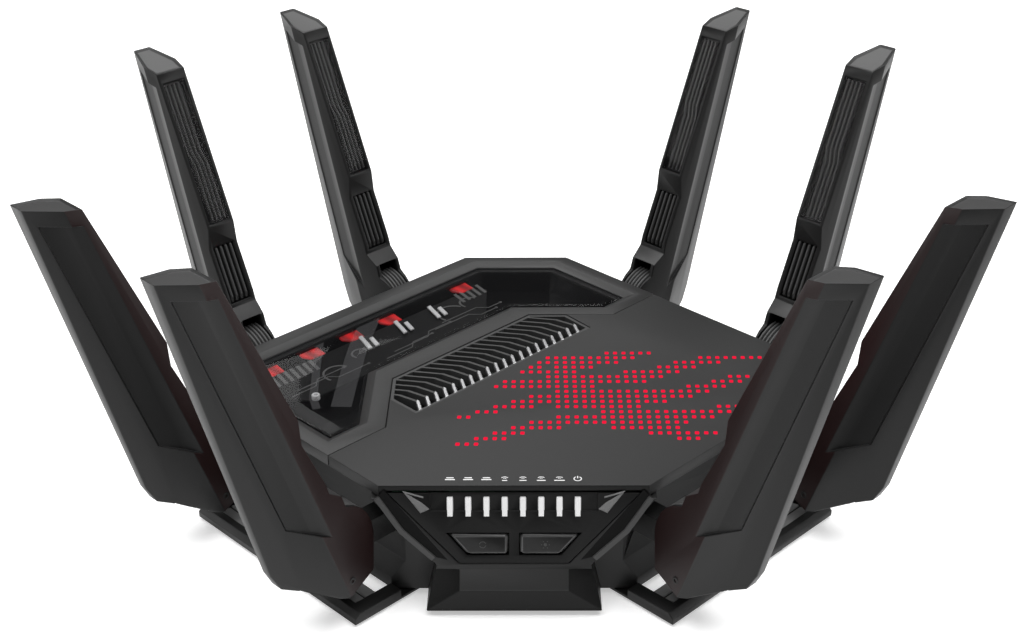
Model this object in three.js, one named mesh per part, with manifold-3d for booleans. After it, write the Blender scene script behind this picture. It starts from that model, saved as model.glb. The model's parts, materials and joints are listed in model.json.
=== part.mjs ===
// Eight-antenna wireless router, in millimetres, +Z up, +X to the viewer's right, front towards -Y.
// The origin is on the floor under the middle of the whole object, its antennas included.
// The case is eight-sided in plan: its four long sides face the diagonals, and each carries two
// blade antennas on tangential hinges. Every piece is a closed solid in its own named mesh.

import * as THREE from "three";
import { mergeVertices } from "three/addons/utils/BufferGeometryUtils.js";
import Module from "manifold-3d";

const wasm = await Module();
wasm.setup();

// ---------------------------------------------------------------------------
// Driving dimensions
// ---------------------------------------------------------------------------
const ROOT2 = Math.SQRT2;
const GAP = 0.3; // clearance between pieces that meet
const PAST = 1; // how far a cutting solid runs past what it cuts
const FAR = 400; // longer than anything it cuts

// Case plan: a square on its corner, its four corners clipped. Reaches are from the middle.
const TOP_REACH = 117.7; // to each long side of the top
const FRONT_EDGE_HALF = 62.15;
const BACK_EDGE_HALF = 29.65;
const SIDE_EDGE_HALF = 16.45;
const TOP_CORNER = TOP_REACH * ROOT2;
const TOP_FRONT = TOP_CORNER - FRONT_EDGE_HALF;
const TOP_BACK = TOP_CORNER - BACK_EDGE_HALF;
const TOP_SIDE = TOP_CORNER - SIDE_EDGE_HALF;
const WALL_INSET = 11.7; // from the top's edge in to the wall
const WALL_REACH = TOP_REACH - WALL_INSET;
const WALL_CORNER = WALL_REACH * ROOT2;
const WALL_SIDE = WALL_CORNER - 11.9;
const WALL_BACK = WALL_CORNER - 21.9;
const BASE_FLARE = 5; // the foot of the case stands out from the wall
const BASE_REACH = WALL_REACH + BASE_FLARE;
const BASE_SIDE = WALL_SIDE + 6;

// Case heights
const TOP_Z = 66.5;
const TOP_THICK = 3;
const SKIRT_DROP = 6;
const SKIRT_WALL = 2.6;
const CASE_BOTTOM = 3.4;
const CASE_WALL = 2.6;
const CASE_FLOOR = 2.4;
const SHOULDER_LOW = 10;
const SHOULDER_HIGH = 20;
const OVERHANG_Z = 29; // underside of the rear overhang

// Front face
const FACE_LEAN = 11.8; // degrees from upright, foot forward
const FACE_TOP_HALF = 58;
const FACE_FOOT_HALF = 25.4;
const FACE_HEIGHT = 38.6; // along the slope
const FACE_DROP = 0.8; // top edge of the face plate below the top cover
const FACE_THICK = 2.4;
const FACE_LEDGE = 2; // the nose behind the plate's edge
const NOSE_TOP_HALF = 66;
const NOSE_FOOT_HALF = 36;
const NOSE_DEPTH = 22; // how far the nose runs back into the case
const NOSE_SETBACK = 6; // the case behind the nose stands this far back from the top's edge
const CHIN_TOP = TOP_Z - 40.8;
const CHIN_EDGE_Y = TOP_FRONT + 13.2;
const CHIN_EDGE_Z = TOP_Z - 49.9;
const TOE_Y = TOP_FRONT + 10.9;
const TOE_HALF = 41.5;

// Status lights and front buttons, on the front face
const LIGHT_COUNT = 8;
const LIGHT_PITCH = 8.41;
const LIGHT_WIDTH = 2.4;
const LIGHT_TOP = 6.1; // down the slope from the top edge
const LIGHT_LENGTH = 9.2;
const LIGHT_BACK = 3; // the guide's strip stands this far behind the plate
const LIGHT_STRIP_INSET = 2;
const LIGHT_BAND_SIDE = 9; // band beyond the middle of the last light
const LIGHT_BAND_TOP = 2.8;
const LIGHT_BAND_LENGTH = 9.9;
const LIGHT_BAND_DEPTH = 0.8;
const BUTTON_TOP = 23.8;
const BUTTON_HEIGHT = 10.6;
const BUTTON_INNER = 2.6;
const BUTTON_OUTER_TOP = 30.6;
const BUTTON_OUTER_FOOT = 21.6;
const BUTTON_DEPTH = 5;
const BUTTON_PROUD = 0.5;

// Window over the left and back of the top
const WINDOW_MARGIN = 12.2; // from the top's long sides to the lens
const WINDOW_BACK_MARGIN = 10;
const WINDOW_BAND = 49.4; // the lens's width along the back-left side
const WINDOW_SIDE_DEPTH = 74; // from the left corner to the lens's straight inner edge
const WINDOW_BACK_DEPTH = 59.9; // from the back corner to the lens's straight inner edge
const WINDOW_FRONT_END = 26.2; // the lens's ends stop short of the case's edge by these
const WINDOW_RIGHT_END = 22.9;
const WINDOW_REACH = TOP_REACH - WINDOW_MARGIN;
const WINDOW_CORNER = WINDOW_REACH * ROOT2;
const WINDOW_DIAGONAL = WINDOW_REACH - WINDOW_BAND;
const WINDOW_INNER_X = -TOP_SIDE + WINDOW_SIDE_DEPTH;
const WINDOW_INNER_Y = TOP_BACK - WINDOW_BACK_DEPTH;
const WINDOW_FRONT_Y = -WINDOW_CORNER - WINDOW_INNER_X + WINDOW_FRONT_END;
const WINDOW_RIGHT_X = WINDOW_CORNER - WINDOW_INNER_Y - WINDOW_RIGHT_END;
const BEZEL_SLOPE_WIDTH = 4.4;
const BEZEL_SLOPE_DROP = 2.2;
const BEZEL_SIDE = 13.5; // from the lens's inner edges to the frame's seams
const BEZEL_INNER = 12.4;
const BEZEL_RIGHT = 5.1;
const BEZEL_FRONT = 6.2;
const BEZEL_DIAGONAL = 15.8;
const LENS_THICK = 2.6;
const LENS_BELOW_TOP = 0.9;
const LENS_BEVEL = 0.8;
const TRAY_WALL = 1.6;
const FRAME_SEAM_X = WINDOW_INNER_X + BEZEL_SIDE;
const FRAME_SEAM_Y = WINDOW_INNER_Y - BEZEL_INNER;
const FRAME_SEAM_RIGHT = WINDOW_RIGHT_X + BEZEL_RIGHT;
const FRAME_SEAM_FOOT = WINDOW_FRONT_Y - BEZEL_FRONT;

// Vent beside the window, in a frame turned by 45 degrees. Its far corners meet the frame's.
const VENT_WIDTH = 34.4;
const VENT_CORNER = 14.6;
const VENT_SLANT = 1.7; // the near right corner stands in by this
const VENT_FAR = WINDOW_DIAGONAL - BEZEL_DIAGONAL;
const VENT_NEAR = VENT_FAR - VENT_WIDTH;
const VENT_LEFT = FRAME_SEAM_X * ROOT2 + VENT_FAR - VENT_CORNER;
const VENT_RIGHT = FRAME_SEAM_Y * ROOT2 - VENT_FAR + VENT_CORNER;
const FIN_PITCH = 6;
const FIN_START = 4.2; // from the vent's left end to the first fin
const FIN_THICK = 1.5;
const FIN_HEIGHT = 5;
const FIN_KNEES = [
  [0, 0],
  [4.5, 8.6],
  [2.1, 19.8],
  [-8, VENT_WIDTH],
];
const GRILLE_RIM = 1.6;
const GRILLE_BELOW_TOP = 0.6;

// Antennas: outlines are of an upright blade, from its hinge axis
const DRUM_RADIUS = 21.2;
const DRUM_CLEARANCE = 4.3; // between the drum and the top's edge
const HINGE_REACH = TOP_REACH + DRUM_CLEARANCE + DRUM_RADIUS;
const HINGE_Z = 42.6;
const ANTENNA_LEAN = 18.5; // degrees outwards at rest
const FRONT_SIDE_ENDS = [17.6, 8.1]; // from a front side's two ends to its hinges
const BACK_SIDE_ENDS = [30.65, 42];
const TIP_INNER = [-2.1, 163.3];
const TIP_OUTER = [20.6, 177.3];
const INNER_KNEE = [-9.1, 77.9];
const HEEL = [31.7, 11.7];
const HEEL_UNDER = [
  [30.2, 1.4],
  [22, -6.9],
  [9.5, -22.5],
];
const LEDGE = [-13.1, 25.3];
const LEDGE_STEPS = [
  [-7.8, 32.7],
  [-8.2, 38.4],
  [-5.5, 66.3],
];
const CHEEK_RADIUS = DRUM_RADIUS + 1.3;
const CHEEK_FOOT_Z = -25;
const CHEEK_FOOT_X = [-12.5, 6];
const RIDGE_TIP = [6, 10.1, 168]; // widest line of the blade: x, half width, z
const RIDGE_FOOT = [5.1, 12.4, -24];
const OUTER_HALF_TIP = 5;
const LEDGE_HALF = 8.6;
const DRUM_HALF = 5.6;
const DRUM_ROOM = 1.7; // between the drum and the blade's pocket
const FORK_HALF = DRUM_HALF + GAP;
const FORK_OPEN_BELOW = -5;
const ARM_TOP = 5;
const ARM_BOTTOM = -8;
const ARM_FLANGE_HALF = 9.5;
const ARM_FLANGE_THICK = 4;
const ARM_FLANGE_LIP = 1;
const PIN_RADIUS = 3;
const PIN_HALF = 9;
const COVER_TOP = 157;
const COVER_FOOT = 80;
const COVER_HALF = 6.3;
const COVER_DEPTH = 3.6;
const INSERT_TOP = 67;
const INSERT_FOOT = 35;
const INSERT_FLOOR = -3.2; // x of the insert pocket's floor
const GROOVE_OUTER = 17.4; // groove on each broad face
const GROOVE_FLOOR = 8;
const GROOVE_INNER = 0.6;
const GROOVE_DEPTH = 2;
const GROOVE_RISE = 0.6; // of the inner half of its floor
const GROOVE_BELOW_TIP = 9;
const GROOVE_FOOT_Z = 13;
const GROOVE_FOOT_SLOPE = 1.12;

// Feet
const FOOT_OUT = 28.7; // the outer bar beyond the foot of the case
const FOOT_REACH = BASE_REACH + FOOT_OUT;
const FOOT_PAST_HINGE = 13.65; // a foot's end beyond the hinges of its side
const FOOT_BAR = 6.7;
const FOOT_ARM = 7.8;
const FOOT_DECK_WIDTH = 14;
const FOOT_ROOT = 19; // how far each foot runs in under the case
const FOOT_BOTTOM = 1.4;
const FOOT_HEIGHT = 5.6;
const FOOT_DECK_Z = 4.6;
const BAR_EDGE_DROP = 2.4;
const BAR_SLOPE = 1.2;
const PAD_LENGTH = 46;
const PAD_WIDTH = 4.4;

// Rear connectors, from left to right as seen from behind
const PORT_SPACING = 2.4;
const PORT_PROUD = 0.6;
const LAN_COUNT = 4;
const LAN_PITCH = 14.4;
const LAN_HEIGHT = 13.4;
const LAN_DEPTH = 18;
const SOCKET_DEPTH = 12;
const LAN_SOCKET = [11.8, 8.2]; // width and height
const LAN_LATCH = [6, 1.4]; // the notch for the plug's latch
const USB_WIDTH = 14.4;
const USB_HEIGHT = 15.6;
const USB_SOCKET = [12.6, 5];
const DC_WIDTH = 9;
const DC_HEIGHT = 11;
const DC_DEPTH = 14;
const DC_HOLE_RADIUS = 3.2;
const DC_HOLE_DEPTH = 5;
const DC_PIN_RADIUS = 1;
const DC_PIN_HALF = 3;
const SWITCH_WIDTH = 12;
const SWITCH_HEIGHT = 9;
const ROCKER_TILT = 7; // degrees from the middle, pressed in at the top
const ROCKER_SIDE = 1.2; // gap to the panel at each end
const ROCKER_PROUD = 1.8;
const ROCKER_PIVOT = 4; // behind the panel's inner face
const ROCKER_ROOT = 2;
const PANEL_THICK = 1.8;
const PANEL_END = 2.4; // panel beyond the last connector
const PANEL_FOOT = 8;
const PANEL_TOP = OVERHANG_Z - 0.8;
const RESET_RADIUS = 1.1;
const RESET_HALF = 4;
const RESET_BEHIND = 0.6; // its tip behind the panel's face
const RESET_ABOVE = 3.2; // the power inlet
const PORTS_WIDE = LAN_COUNT * LAN_PITCH + USB_WIDTH + DC_WIDTH + SWITCH_WIDTH + 3 * PORT_SPACING;
const PANEL_HALF = PORTS_WIDE / 2 + PANEL_END;
const REAR_FACE = WALL_CORNER - PANEL_HALF - CASE_WALL - GAP; // connector wall, from the middle

// Inside
const BOARD_Z = 9;
const BOARD_THICK = 1.6;
const BOARD_INSET = 10; // from the long walls
const BOARD_CORNER_INSET = 14;
const BOARD_BACK_INSET = 3;
const PORT_FLOOR = BOARD_Z + BOARD_THICK + GAP; // the connectors stand on the board
const TRAY_FLOOR_Z = HINGE_Z + ARM_TOP + ARM_FLANGE_LIP + GAP; // above the knuckles' arms
const SINK_FINS = 9;
const SINK_FIN_THICK = 2;
const SINK_PLATE = 5;
const SINK_WIDTH = 30;
const SINK_END = 13; // from the vent's ends
const SINK_BELOW_TRAY = 3;

// Light panel for the dot pattern, under the right half of the top cover
const DOT_PANEL_X = [-28, 130];
const DOT_PANEL_Y = [-72, 24];
const DOT_PANEL_THICK = 2;

// ---------------------------------------------------------------------------
// Solids
// ---------------------------------------------------------------------------
const rad = THREE.MathUtils.degToRad;

function solidOf(geometry) {
  const bare = geometry.clone();
  bare.deleteAttribute("normal");
  bare.deleteAttribute("uv");
  const merged = mergeVertices(bare, 1e-4);
  return new wasm.Manifold(
    new wasm.Mesh({
      numProp: 3,
      vertProperties: new Float32Array(merged.attributes.position.array),
      triVerts: new Uint32Array(merged.index.array),
    }),
  );
}

function geometryOf(solid) {
  const mesh = solid.getMesh();
  const geometry = new THREE.BufferGeometry();
  const positions = new THREE.BufferAttribute(new Float32Array(mesh.vertProperties), 3);
  geometry.setAttribute("position", positions);
  geometry.setIndex(new THREE.BufferAttribute(new Uint32Array(mesh.triVerts), 1));
  return geometry;
}

function shapeOf(outline) {
  return new THREE.Shape(outline.map(([x, y]) => new THREE.Vector2(x, y)));
}

// Outline in x and y, raised from z0 to z1.
function prism(outline, z0, z1) {
  const geometry = new THREE.ExtrudeGeometry(shapeOf(outline), {
    depth: z1 - z0,
    bevelEnabled: false,
  });
  return solidOf(geometry.translate(0, 0, z0));
}

// Outline in x and z, carried along y from y0 to y1.
function wallAlongY(outline, y0, y1) {
  const geometry = new THREE.ExtrudeGeometry(shapeOf(outline), {
    depth: y1 - y0,
    bevelEnabled: false,
  });
  return solidOf(geometry.rotateX(Math.PI / 2).translate(0, y1, 0));
}

// Outline in y and z, carried along x from x0 to x1.
function wallAlongX(outline, x0, x1) {
  const geometry = new THREE.ExtrudeGeometry(shapeOf(outline), {
    depth: x1 - x0,
    bevelEnabled: false,
  });
  const turn = new THREE.Matrix4().makeBasis(
    new THREE.Vector3(0, 1, 0),
    new THREE.Vector3(0, 0, 1),
    new THREE.Vector3(1, 0, 0),
  );
  return solidOf(geometry.applyMatrix4(turn).translate(x0, 0, 0));
}

function box([x0, x1], [y0, y1], [z0, z1]) {
  const geometry = new THREE.BoxGeometry(x1 - x0, y1 - y0, z1 - z0);
  return solidOf(geometry.translate((x0 + x1) / 2, (y0 + y1) / 2, (z0 + z1) / 2));
}

function cylinderAlongY(radius, half, segments) {
  return solidOf(new THREE.CylinderGeometry(radius, radius, 2 * half, segments));
}

// Takes away everything on the side of the plane that its normal points to.
function cutBeyond(solid, point, normal) {
  const size = FAR;
  const geometry = new THREE.BoxGeometry(size, size, size).translate(0, 0, size / 2);
  const turn = new THREE.Quaternion().setFromUnitVectors(
    new THREE.Vector3(0, 0, 1),
    normal.clone().normalize(),
  );
  geometry.applyQuaternion(turn).translate(point.x, point.y, point.z);
  return solid.subtract(solidOf(geometry));
}

// The plane through three points, its normal pointing away from the point "inside".
function cutByPoints(solid, a, b, c, inside) {
  const plane = new THREE.Plane().setFromCoplanarPoints(a, b, c);
  const away = plane.distanceToPoint(inside) < 0 ? 1 : -1;
  return cutBeyond(solid, a, plane.normal.clone().multiplyScalar(away));
}

// An outline moved outwards by a distance, edge by edge; a negative distance moves it inwards.
function offset(outline, distance) {
  const count = outline.length;
  const lines = outline.map((a, i) => {
    const b = outline[(i + 1) % count];
    const length = Math.hypot(b[0] - a[0], b[1] - a[1]);
    const normal = [(b[1] - a[1]) / length, (a[0] - b[0]) / length];
    return [normal, normal[0] * a[0] + normal[1] * a[1] + distance];
  });
  return lines.map(([n, c], i) => {
    const [m, d] = lines[(i + count - 1) % count];
    const det = m[0] * n[1] - m[1] * n[0];
    return [(d * n[1] - c * m[1]) / det, (m[0] * c - n[0] * d) / det];
  });
}

// The eight-sided plan: long diagonal sides at "reach", clipped at the front, back and sides.
function plan(reach, front, back, side) {
  const corner = reach * ROOT2;
  return [
    [corner - front, -front],
    [side, side - corner],
    [side, corner - side],
    [corner - back, back],
    [back - corner, back],
    [-side, corner - side],
    [-side, side - corner],
    [front - corner, -front],
  ];
}

// ---------------------------------------------------------------------------
// Materials and nodes
// ---------------------------------------------------------------------------
function plastic(color, roughness) {
  return new THREE.MeshStandardMaterial({ color, roughness, metalness: 0 });
}

function metal(color, roughness) {
  return new THREE.MeshStandardMaterial({ color, roughness, metalness: 1 });
}

const CHARCOAL = plastic(0x34353a, 0.55);
const SHELL_BLACK = plastic(0x1d1e20, 0.6);
const BLADE_BLACK = plastic(0x2b2c2e, 0.55);
const GLOSS_BLACK = plastic(0x101012, 0.2);
const LIGHT_WHITE = plastic(0xf2f4f5, 0.4);
const DOT_RED = plastic(0xd01030, 0.5);
const BOARD_GREEN = plastic(0x1c3a2a, 0.6);
const SOCKET_STEEL = metal(0xb8babd, 0.35);
const SINK_ALUMINIUM = metal(0xa9abae, 0.4);
const RUBBER = plastic(0x151515, 0.9);
const CLEAR = new THREE.MeshStandardMaterial({
  color: 0x30343a,
  roughness: 0.05,
  metalness: 0,
  transparent: true,
  opacity: 0.35,
});

function node(name, solid, material) {
  const mesh = new THREE.Mesh(geometryOf(solid), material);
  mesh.name = name;
  return mesh;
}

const router = new THREE.Group();

// ---------------------------------------------------------------------------
// Outlines that several pieces share
// ---------------------------------------------------------------------------
const topPlan = plan(TOP_REACH, TOP_FRONT, TOP_BACK, TOP_SIDE);
const wallPlan = plan(WALL_REACH, TOP_FRONT, WALL_BACK, WALL_SIDE);
const roomPlan = offset(wallPlan, -CASE_WALL);

// The lens follows the case outline on the left and back, and the vent on its inner side.
function lensOutline() {
  const back = TOP_BACK - WINDOW_BACK_MARGIN;
  const side = TOP_SIDE - WINDOW_MARGIN;
  const corner = WINDOW_CORNER;
  const diagonal = WINDOW_DIAGONAL * ROOT2; // y minus x along the inner diagonal edge
  const frontEnd = (WINDOW_INNER_X - corner - WINDOW_FRONT_Y) / 2;
  const rightEnd = (corner + WINDOW_RIGHT_X - WINDOW_INNER_Y) / 2;
  return [
    [frontEnd, -corner - frontEnd],
    [WINDOW_INNER_X, WINDOW_FRONT_Y],
    [WINDOW_INNER_X, diagonal + WINDOW_INNER_X],
    [WINDOW_INNER_Y - diagonal, WINDOW_INNER_Y],
    [WINDOW_RIGHT_X, WINDOW_INNER_Y],
    [rightEnd, corner - rightEnd],
    [corner - back, back],
    [back - corner, back],
    [-side, corner - side],
    [-side, side - corner],
  ];
}

// The frame round the lens ends at seams that run square to the case's long sides. The outline
// runs past the case, which cuts it.
function frameOutline() {
  const outside = WINDOW_MARGIN;
  const far = VENT_FAR * ROOT2;
  const footRun = (TOP_CORNER + FRAME_SEAM_X + FRAME_SEAM_FOOT) / 2 + outside;
  const rightRun = (TOP_CORNER - FRAME_SEAM_RIGHT - FRAME_SEAM_Y) / 2 + outside;
  return [
    [FRAME_SEAM_X - footRun, FRAME_SEAM_FOOT - footRun],
    [FRAME_SEAM_X, FRAME_SEAM_FOOT],
    [FRAME_SEAM_X, far + FRAME_SEAM_X],
    [FRAME_SEAM_Y - far, FRAME_SEAM_Y],
    [FRAME_SEAM_RIGHT, FRAME_SEAM_Y],
    [FRAME_SEAM_RIGHT + rightRun, FRAME_SEAM_Y + rightRun],
    [FRAME_SEAM_RIGHT + rightRun, TOP_BACK + outside],
    [-TOP_SIDE - outside, TOP_BACK + outside],
    [-TOP_SIDE - outside, FRAME_SEAM_FOOT - footRun],
  ];
}

const lensPlan = lensOutline();
const framePlan = frameOutline();

// The vent's outline, in the frame turned by 45 degrees.
const ventPlan = [
  [VENT_LEFT, VENT_NEAR],
  [VENT_RIGHT - VENT_SLANT, VENT_NEAR],
  [VENT_RIGHT, VENT_FAR - VENT_CORNER],
  [VENT_RIGHT - VENT_CORNER, VENT_FAR],
  [VENT_LEFT + VENT_CORNER, VENT_FAR],
  [VENT_LEFT, VENT_FAR - VENT_CORNER],
];

// ---------------------------------------------------------------------------
// Top cover, window frame, lens and tray
// ---------------------------------------------------------------------------
const skirtFoot = TOP_Z - SKIRT_DROP;
const plateFoot = TOP_Z - TOP_THICK;

// The whole top in one: a plate with a skirt round its edge, open over the front face.
const wholeTop = prism(topPlan, skirtFoot, TOP_Z)
  .subtract(prism(offset(topPlan, -SKIRT_WALL), skirtFoot - PAST, plateFoot))
  .subtract(
    box(
      [-NOSE_TOP_HALF + SKIRT_DROP, NOSE_TOP_HALF - SKIRT_DROP],
      [-TOP_FRONT - PAST, -TOP_FRONT + SKIRT_DROP],
      [skirtFoot - PAST, plateFoot],
    ),
  );

const ventHole = prism(ventPlan, skirtFoot - PAST, TOP_Z + PAST).rotate([0, 0, 45]);

const topCover = wholeTop
  .subtract(prism(offset(framePlan, GAP / 2), 0, TOP_Z + PAST))
  .subtract(ventHole);
router.add(node("top_cover", topCover, CHARCOAL));

// A funnel in the frame slopes down to the lens on every side.
function bezelSlope() {
  const geometry = new THREE.ExtrudeGeometry(shapeOf(lensPlan), {
    depth: PAST,
    bevelThickness: BEZEL_SLOPE_DROP,
    bevelSize: BEZEL_SLOPE_WIDTH,
    bevelSegments: 1,
  });
  return solidOf(geometry.translate(0, 0, TOP_Z));
}

const windowFrame = wholeTop
  .intersect(prism(offset(framePlan, -GAP / 2), 0, TOP_Z + PAST))
  .subtract(ventHole)
  .subtract(prism(lensPlan, 0, TOP_Z + PAST))
  .subtract(bezelSlope());
router.add(node("window_frame", windowFrame, CHARCOAL));

const lensTop = TOP_Z - LENS_BELOW_TOP;
const lensFoot = lensTop - LENS_THICK;
const lensGeometry = new THREE.ExtrudeGeometry(shapeOf(offset(lensPlan, -GAP)), {
  depth: LENS_THICK - 2 * LENS_BEVEL,
  bevelThickness: LENS_BEVEL,
  bevelSize: LENS_BEVEL,
  bevelOffset: -LENS_BEVEL,
  bevelSegments: 1,
});
lensGeometry.translate(0, 0, lensFoot + LENS_BEVEL);
router.add(node("window_lens", solidOf(lensGeometry), CLEAR));

// The tray hangs under the lens, inside the case walls.
const trayTop = lensFoot - GAP;
const windowTray = prism(offset(lensPlan, -GAP), TRAY_FLOOR_Z, trayTop)
  .intersect(prism(offset(roomPlan, -GAP), 0, TOP_Z))
  .subtract(
    prism(offset(lensPlan, -GAP - TRAY_WALL), TRAY_FLOOR_Z + TRAY_WALL, TOP_Z).intersect(
      prism(offset(roomPlan, -GAP - TRAY_WALL), 0, TOP_Z),
    ),
  );
router.add(node("window_tray", windowTray, GLOSS_BLACK));

// ---------------------------------------------------------------------------
// Vent grille and heat sink
// ---------------------------------------------------------------------------
const vent = new THREE.Group();
vent.rotation.z = Math.PI / 4;
router.add(vent);

// One fin: a strip that follows the knees, as one closed outline.
function finOutline(u) {
  const half = FIN_THICK / 2;
  const left = FIN_KNEES.map(([x, y]) => [u + x - half, VENT_NEAR + y]);
  const right = FIN_KNEES.map(([x, y]) => [u + x + half, VENT_NEAR + y]);
  return [...right, ...left.reverse()];
}

const grilleTop = TOP_Z - GRILLE_BELOW_TOP;
const grilleOutside = offset(ventPlan, -GAP);
const grilleInside = offset(ventPlan, -GAP - GRILLE_RIM);
let grille = prism(grilleOutside, grilleTop - FIN_HEIGHT, grilleTop).subtract(
  prism(grilleInside, 0, TOP_Z + PAST),
);
const finRoom = prism(offset(ventPlan, -GAP - GRILLE_RIM / 2), 0, TOP_Z);
const finCount = Math.floor((VENT_RIGHT - VENT_LEFT - FIN_START) / FIN_PITCH);
for (let i = 0; i < finCount; i += 1) {
  const u = VENT_LEFT + FIN_START + FIN_PITCH * i;
  const fin = prism(finOutline(u), grilleTop - FIN_HEIGHT, grilleTop);
  grille = grille.add(fin.intersect(finRoom));
}
vent.add(node("vent_grille", grille, SHELL_BLACK));

const boardTop = BOARD_Z + BOARD_THICK;
const sinkBase = boardTop + GAP;
const sinkTop = TRAY_FLOOR_Z - SINK_BELOW_TRAY;
const sinkMiddle = (VENT_NEAR + VENT_FAR) / 2;
const sinkX = [VENT_LEFT + SINK_END, VENT_RIGHT - SINK_END];
const sinkY = [sinkMiddle - SINK_WIDTH / 2, sinkMiddle + SINK_WIDTH / 2];
let heatSink = box(sinkX, sinkY, [sinkBase, sinkBase + SINK_PLATE]);
const sinkPitch = (sinkX[1] - sinkX[0] - SINK_FIN_THICK) / (SINK_FINS - 1);
for (let i = 0; i < SINK_FINS; i += 1) {
  const x = sinkX[0] + i * sinkPitch;
  heatSink = heatSink.add(
    box([x, x + SINK_FIN_THICK], sinkY, [sinkBase + SINK_PLATE - PAST, sinkTop]),
  );
}
vent.add(node("heat_sink", heatSink, SINK_ALUMINIUM));

// ---------------------------------------------------------------------------
// Main board
// ---------------------------------------------------------------------------
const boardPlan = plan(
  WALL_REACH - BOARD_INSET,
  TOP_FRONT - BOARD_CORNER_INSET,
  REAR_FACE - BOARD_BACK_INSET,
  WALL_SIDE - BOARD_CORNER_INSET,
);
const mainBoard = prism(boardPlan, BOARD_Z, boardTop);
router.add(node("main_board", mainBoard, BOARD_GREEN));

// The panel stops short of the vent and of the case walls.
const dotPanelTop = plateFoot - GAP;
const wholePanel = box(DOT_PANEL_X, DOT_PANEL_Y, [dotPanelTop - DOT_PANEL_THICK, dotPanelTop]);
const lightPanel = cutBeyond(
  wholePanel.intersect(prism(roomPlan, 0, TOP_Z)),
  new THREE.Vector3(0, (VENT_NEAR - PAST) * ROOT2, 0),
  new THREE.Vector3(-1, 1, 0),
);
router.add(node("dot_light_panel", lightPanel, DOT_RED));

// ---------------------------------------------------------------------------
// Sides: each long side has its own frame, +X outwards, +Y along the side, anticlockwise
// ---------------------------------------------------------------------------
// Hinge places along a side that runs between two clipped corners, seen in the side's frame.
function hingePlaces(edgeHalf, ends, towardsFront) {
  const side = (SIDE_EDGE_HALF - TOP_SIDE) / ROOT2;
  const end = (TOP_CORNER - 2 * edgeHalf) / ROOT2;
  return [towardsFront * (side + ends[0]), towardsFront * (end - ends[1])];
}

const FRONT_PLACES = hingePlaces(FRONT_EDGE_HALF, FRONT_SIDE_ENDS, 1);
const BACK_PLACES = hingePlaces(BACK_EDGE_HALF, BACK_SIDE_ENDS, -1);
const SIDES = [
  { name: "front_left", angle: 225, along: 1, places: FRONT_PLACES },
  { name: "front_right", angle: 315, along: -1, places: FRONT_PLACES },
  { name: "back_left", angle: 135, along: 1, places: BACK_PLACES },
  { name: "back_right", angle: 45, along: -1, places: BACK_PLACES },
];

// ---------------------------------------------------------------------------
// Bottom case
// ---------------------------------------------------------------------------
const leanTan = Math.tan(rad(FACE_LEAN));
const faceY = (z) => -TOP_FRONT - (TOP_Z - z) * leanTan;
const V = (x, y, z) => new THREE.Vector3(x, y, z);

// Cuts a slope on each long side from the foot of the case to its wall.
function cutShoulders(solid) {
  let cut = solid;
  for (const side of SIDES) {
    const out = V(Math.cos(rad(side.angle)), Math.sin(rad(side.angle)), 0);
    const point = out.clone().multiplyScalar(BASE_REACH).setZ(SHOULDER_LOW);
    const rise = SHOULDER_HIGH - SHOULDER_LOW;
    const normal = out.clone().multiplyScalar(rise).setZ(BASE_REACH - WALL_REACH);
    cut = cutBeyond(cut, point, normal);
  }
  return cut;
}

// The nose carries the front face: a V seen from the front, closed by the chin and the toe.
function nose(inset, top) {
  const profile = [
    [-TOP_FRONT + NOSE_DEPTH, CASE_BOTTOM + inset],
    [-TOE_Y + inset, CASE_BOTTOM + inset],
    [-CHIN_EDGE_Y + inset, CHIN_EDGE_Z],
    [faceY(CHIN_TOP) + inset, CHIN_TOP],
    [faceY(top) + inset, top],
    [-TOP_FRONT + NOSE_DEPTH, top],
  ];
  const body = wallAlongX(profile.reverse(), -NOSE_TOP_HALF, NOSE_TOP_HALF);
  const front = [
    [-NOSE_FOOT_HALF + inset, CHIN_TOP + FACE_LEDGE],
    [-TOE_HALF + inset, CASE_BOTTOM - PAST],
    [TOE_HALF - inset, CASE_BOTTOM - PAST],
    [NOSE_FOOT_HALF - inset, CHIN_TOP + FACE_LEDGE],
    [NOSE_TOP_HALF - inset, skirtFoot - GAP],
    [NOSE_TOP_HALF - inset, TOP_Z],
    [-NOSE_TOP_HALF + inset, TOP_Z],
    [-NOSE_TOP_HALF + inset, skirtFoot - GAP],
  ];
  const whole = body.intersect(wallAlongY(front, -FAR, 0));
  const belowFace = box([-FAR, FAR], [-FAR, 0], [0, CHIN_TOP]);
  let chin = whole.intersect(belowFace);
  for (const s of [-1, 1]) {
    chin = cutByPoints(
      chin,
      V(s * (FACE_FOOT_HALF - inset), faceY(CHIN_TOP), CHIN_TOP),
      V(s * (FACE_FOOT_HALF - inset), -CHIN_EDGE_Y, CHIN_EDGE_Z),
      V(s * (TOE_HALF - inset), -TOE_Y, CASE_BOTTOM),
      V(0, 0, CASE_BOTTOM),
    );
  }
  return whole.subtract(belowFace).add(chin);
}

// The face plate sits in the nose; this group lies in its plane, +Y up the slope, +Z outwards.
const face = new THREE.Group();
face.position.set(0, -TOP_FRONT, TOP_Z);
face.rotation.x = rad(90 - FACE_LEAN);
router.add(face);

const faceMatrix = new THREE.Matrix4()
  .makeRotationX(face.rotation.x)
  .setPosition(0, -TOP_FRONT, TOP_Z);

// A solid from the face's plane, placed in the case.
function inCase(geometry) {
  return solidOf(geometry.clone().applyMatrix4(faceMatrix));
}

const facePlan = [
  [-FACE_FOOT_HALF, -FACE_HEIGHT],
  [FACE_FOOT_HALF, -FACE_HEIGHT],
  [FACE_TOP_HALF, -TOP_THICK - FACE_DROP],
  [-FACE_TOP_HALF, -TOP_THICK - FACE_DROP],
];

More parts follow.
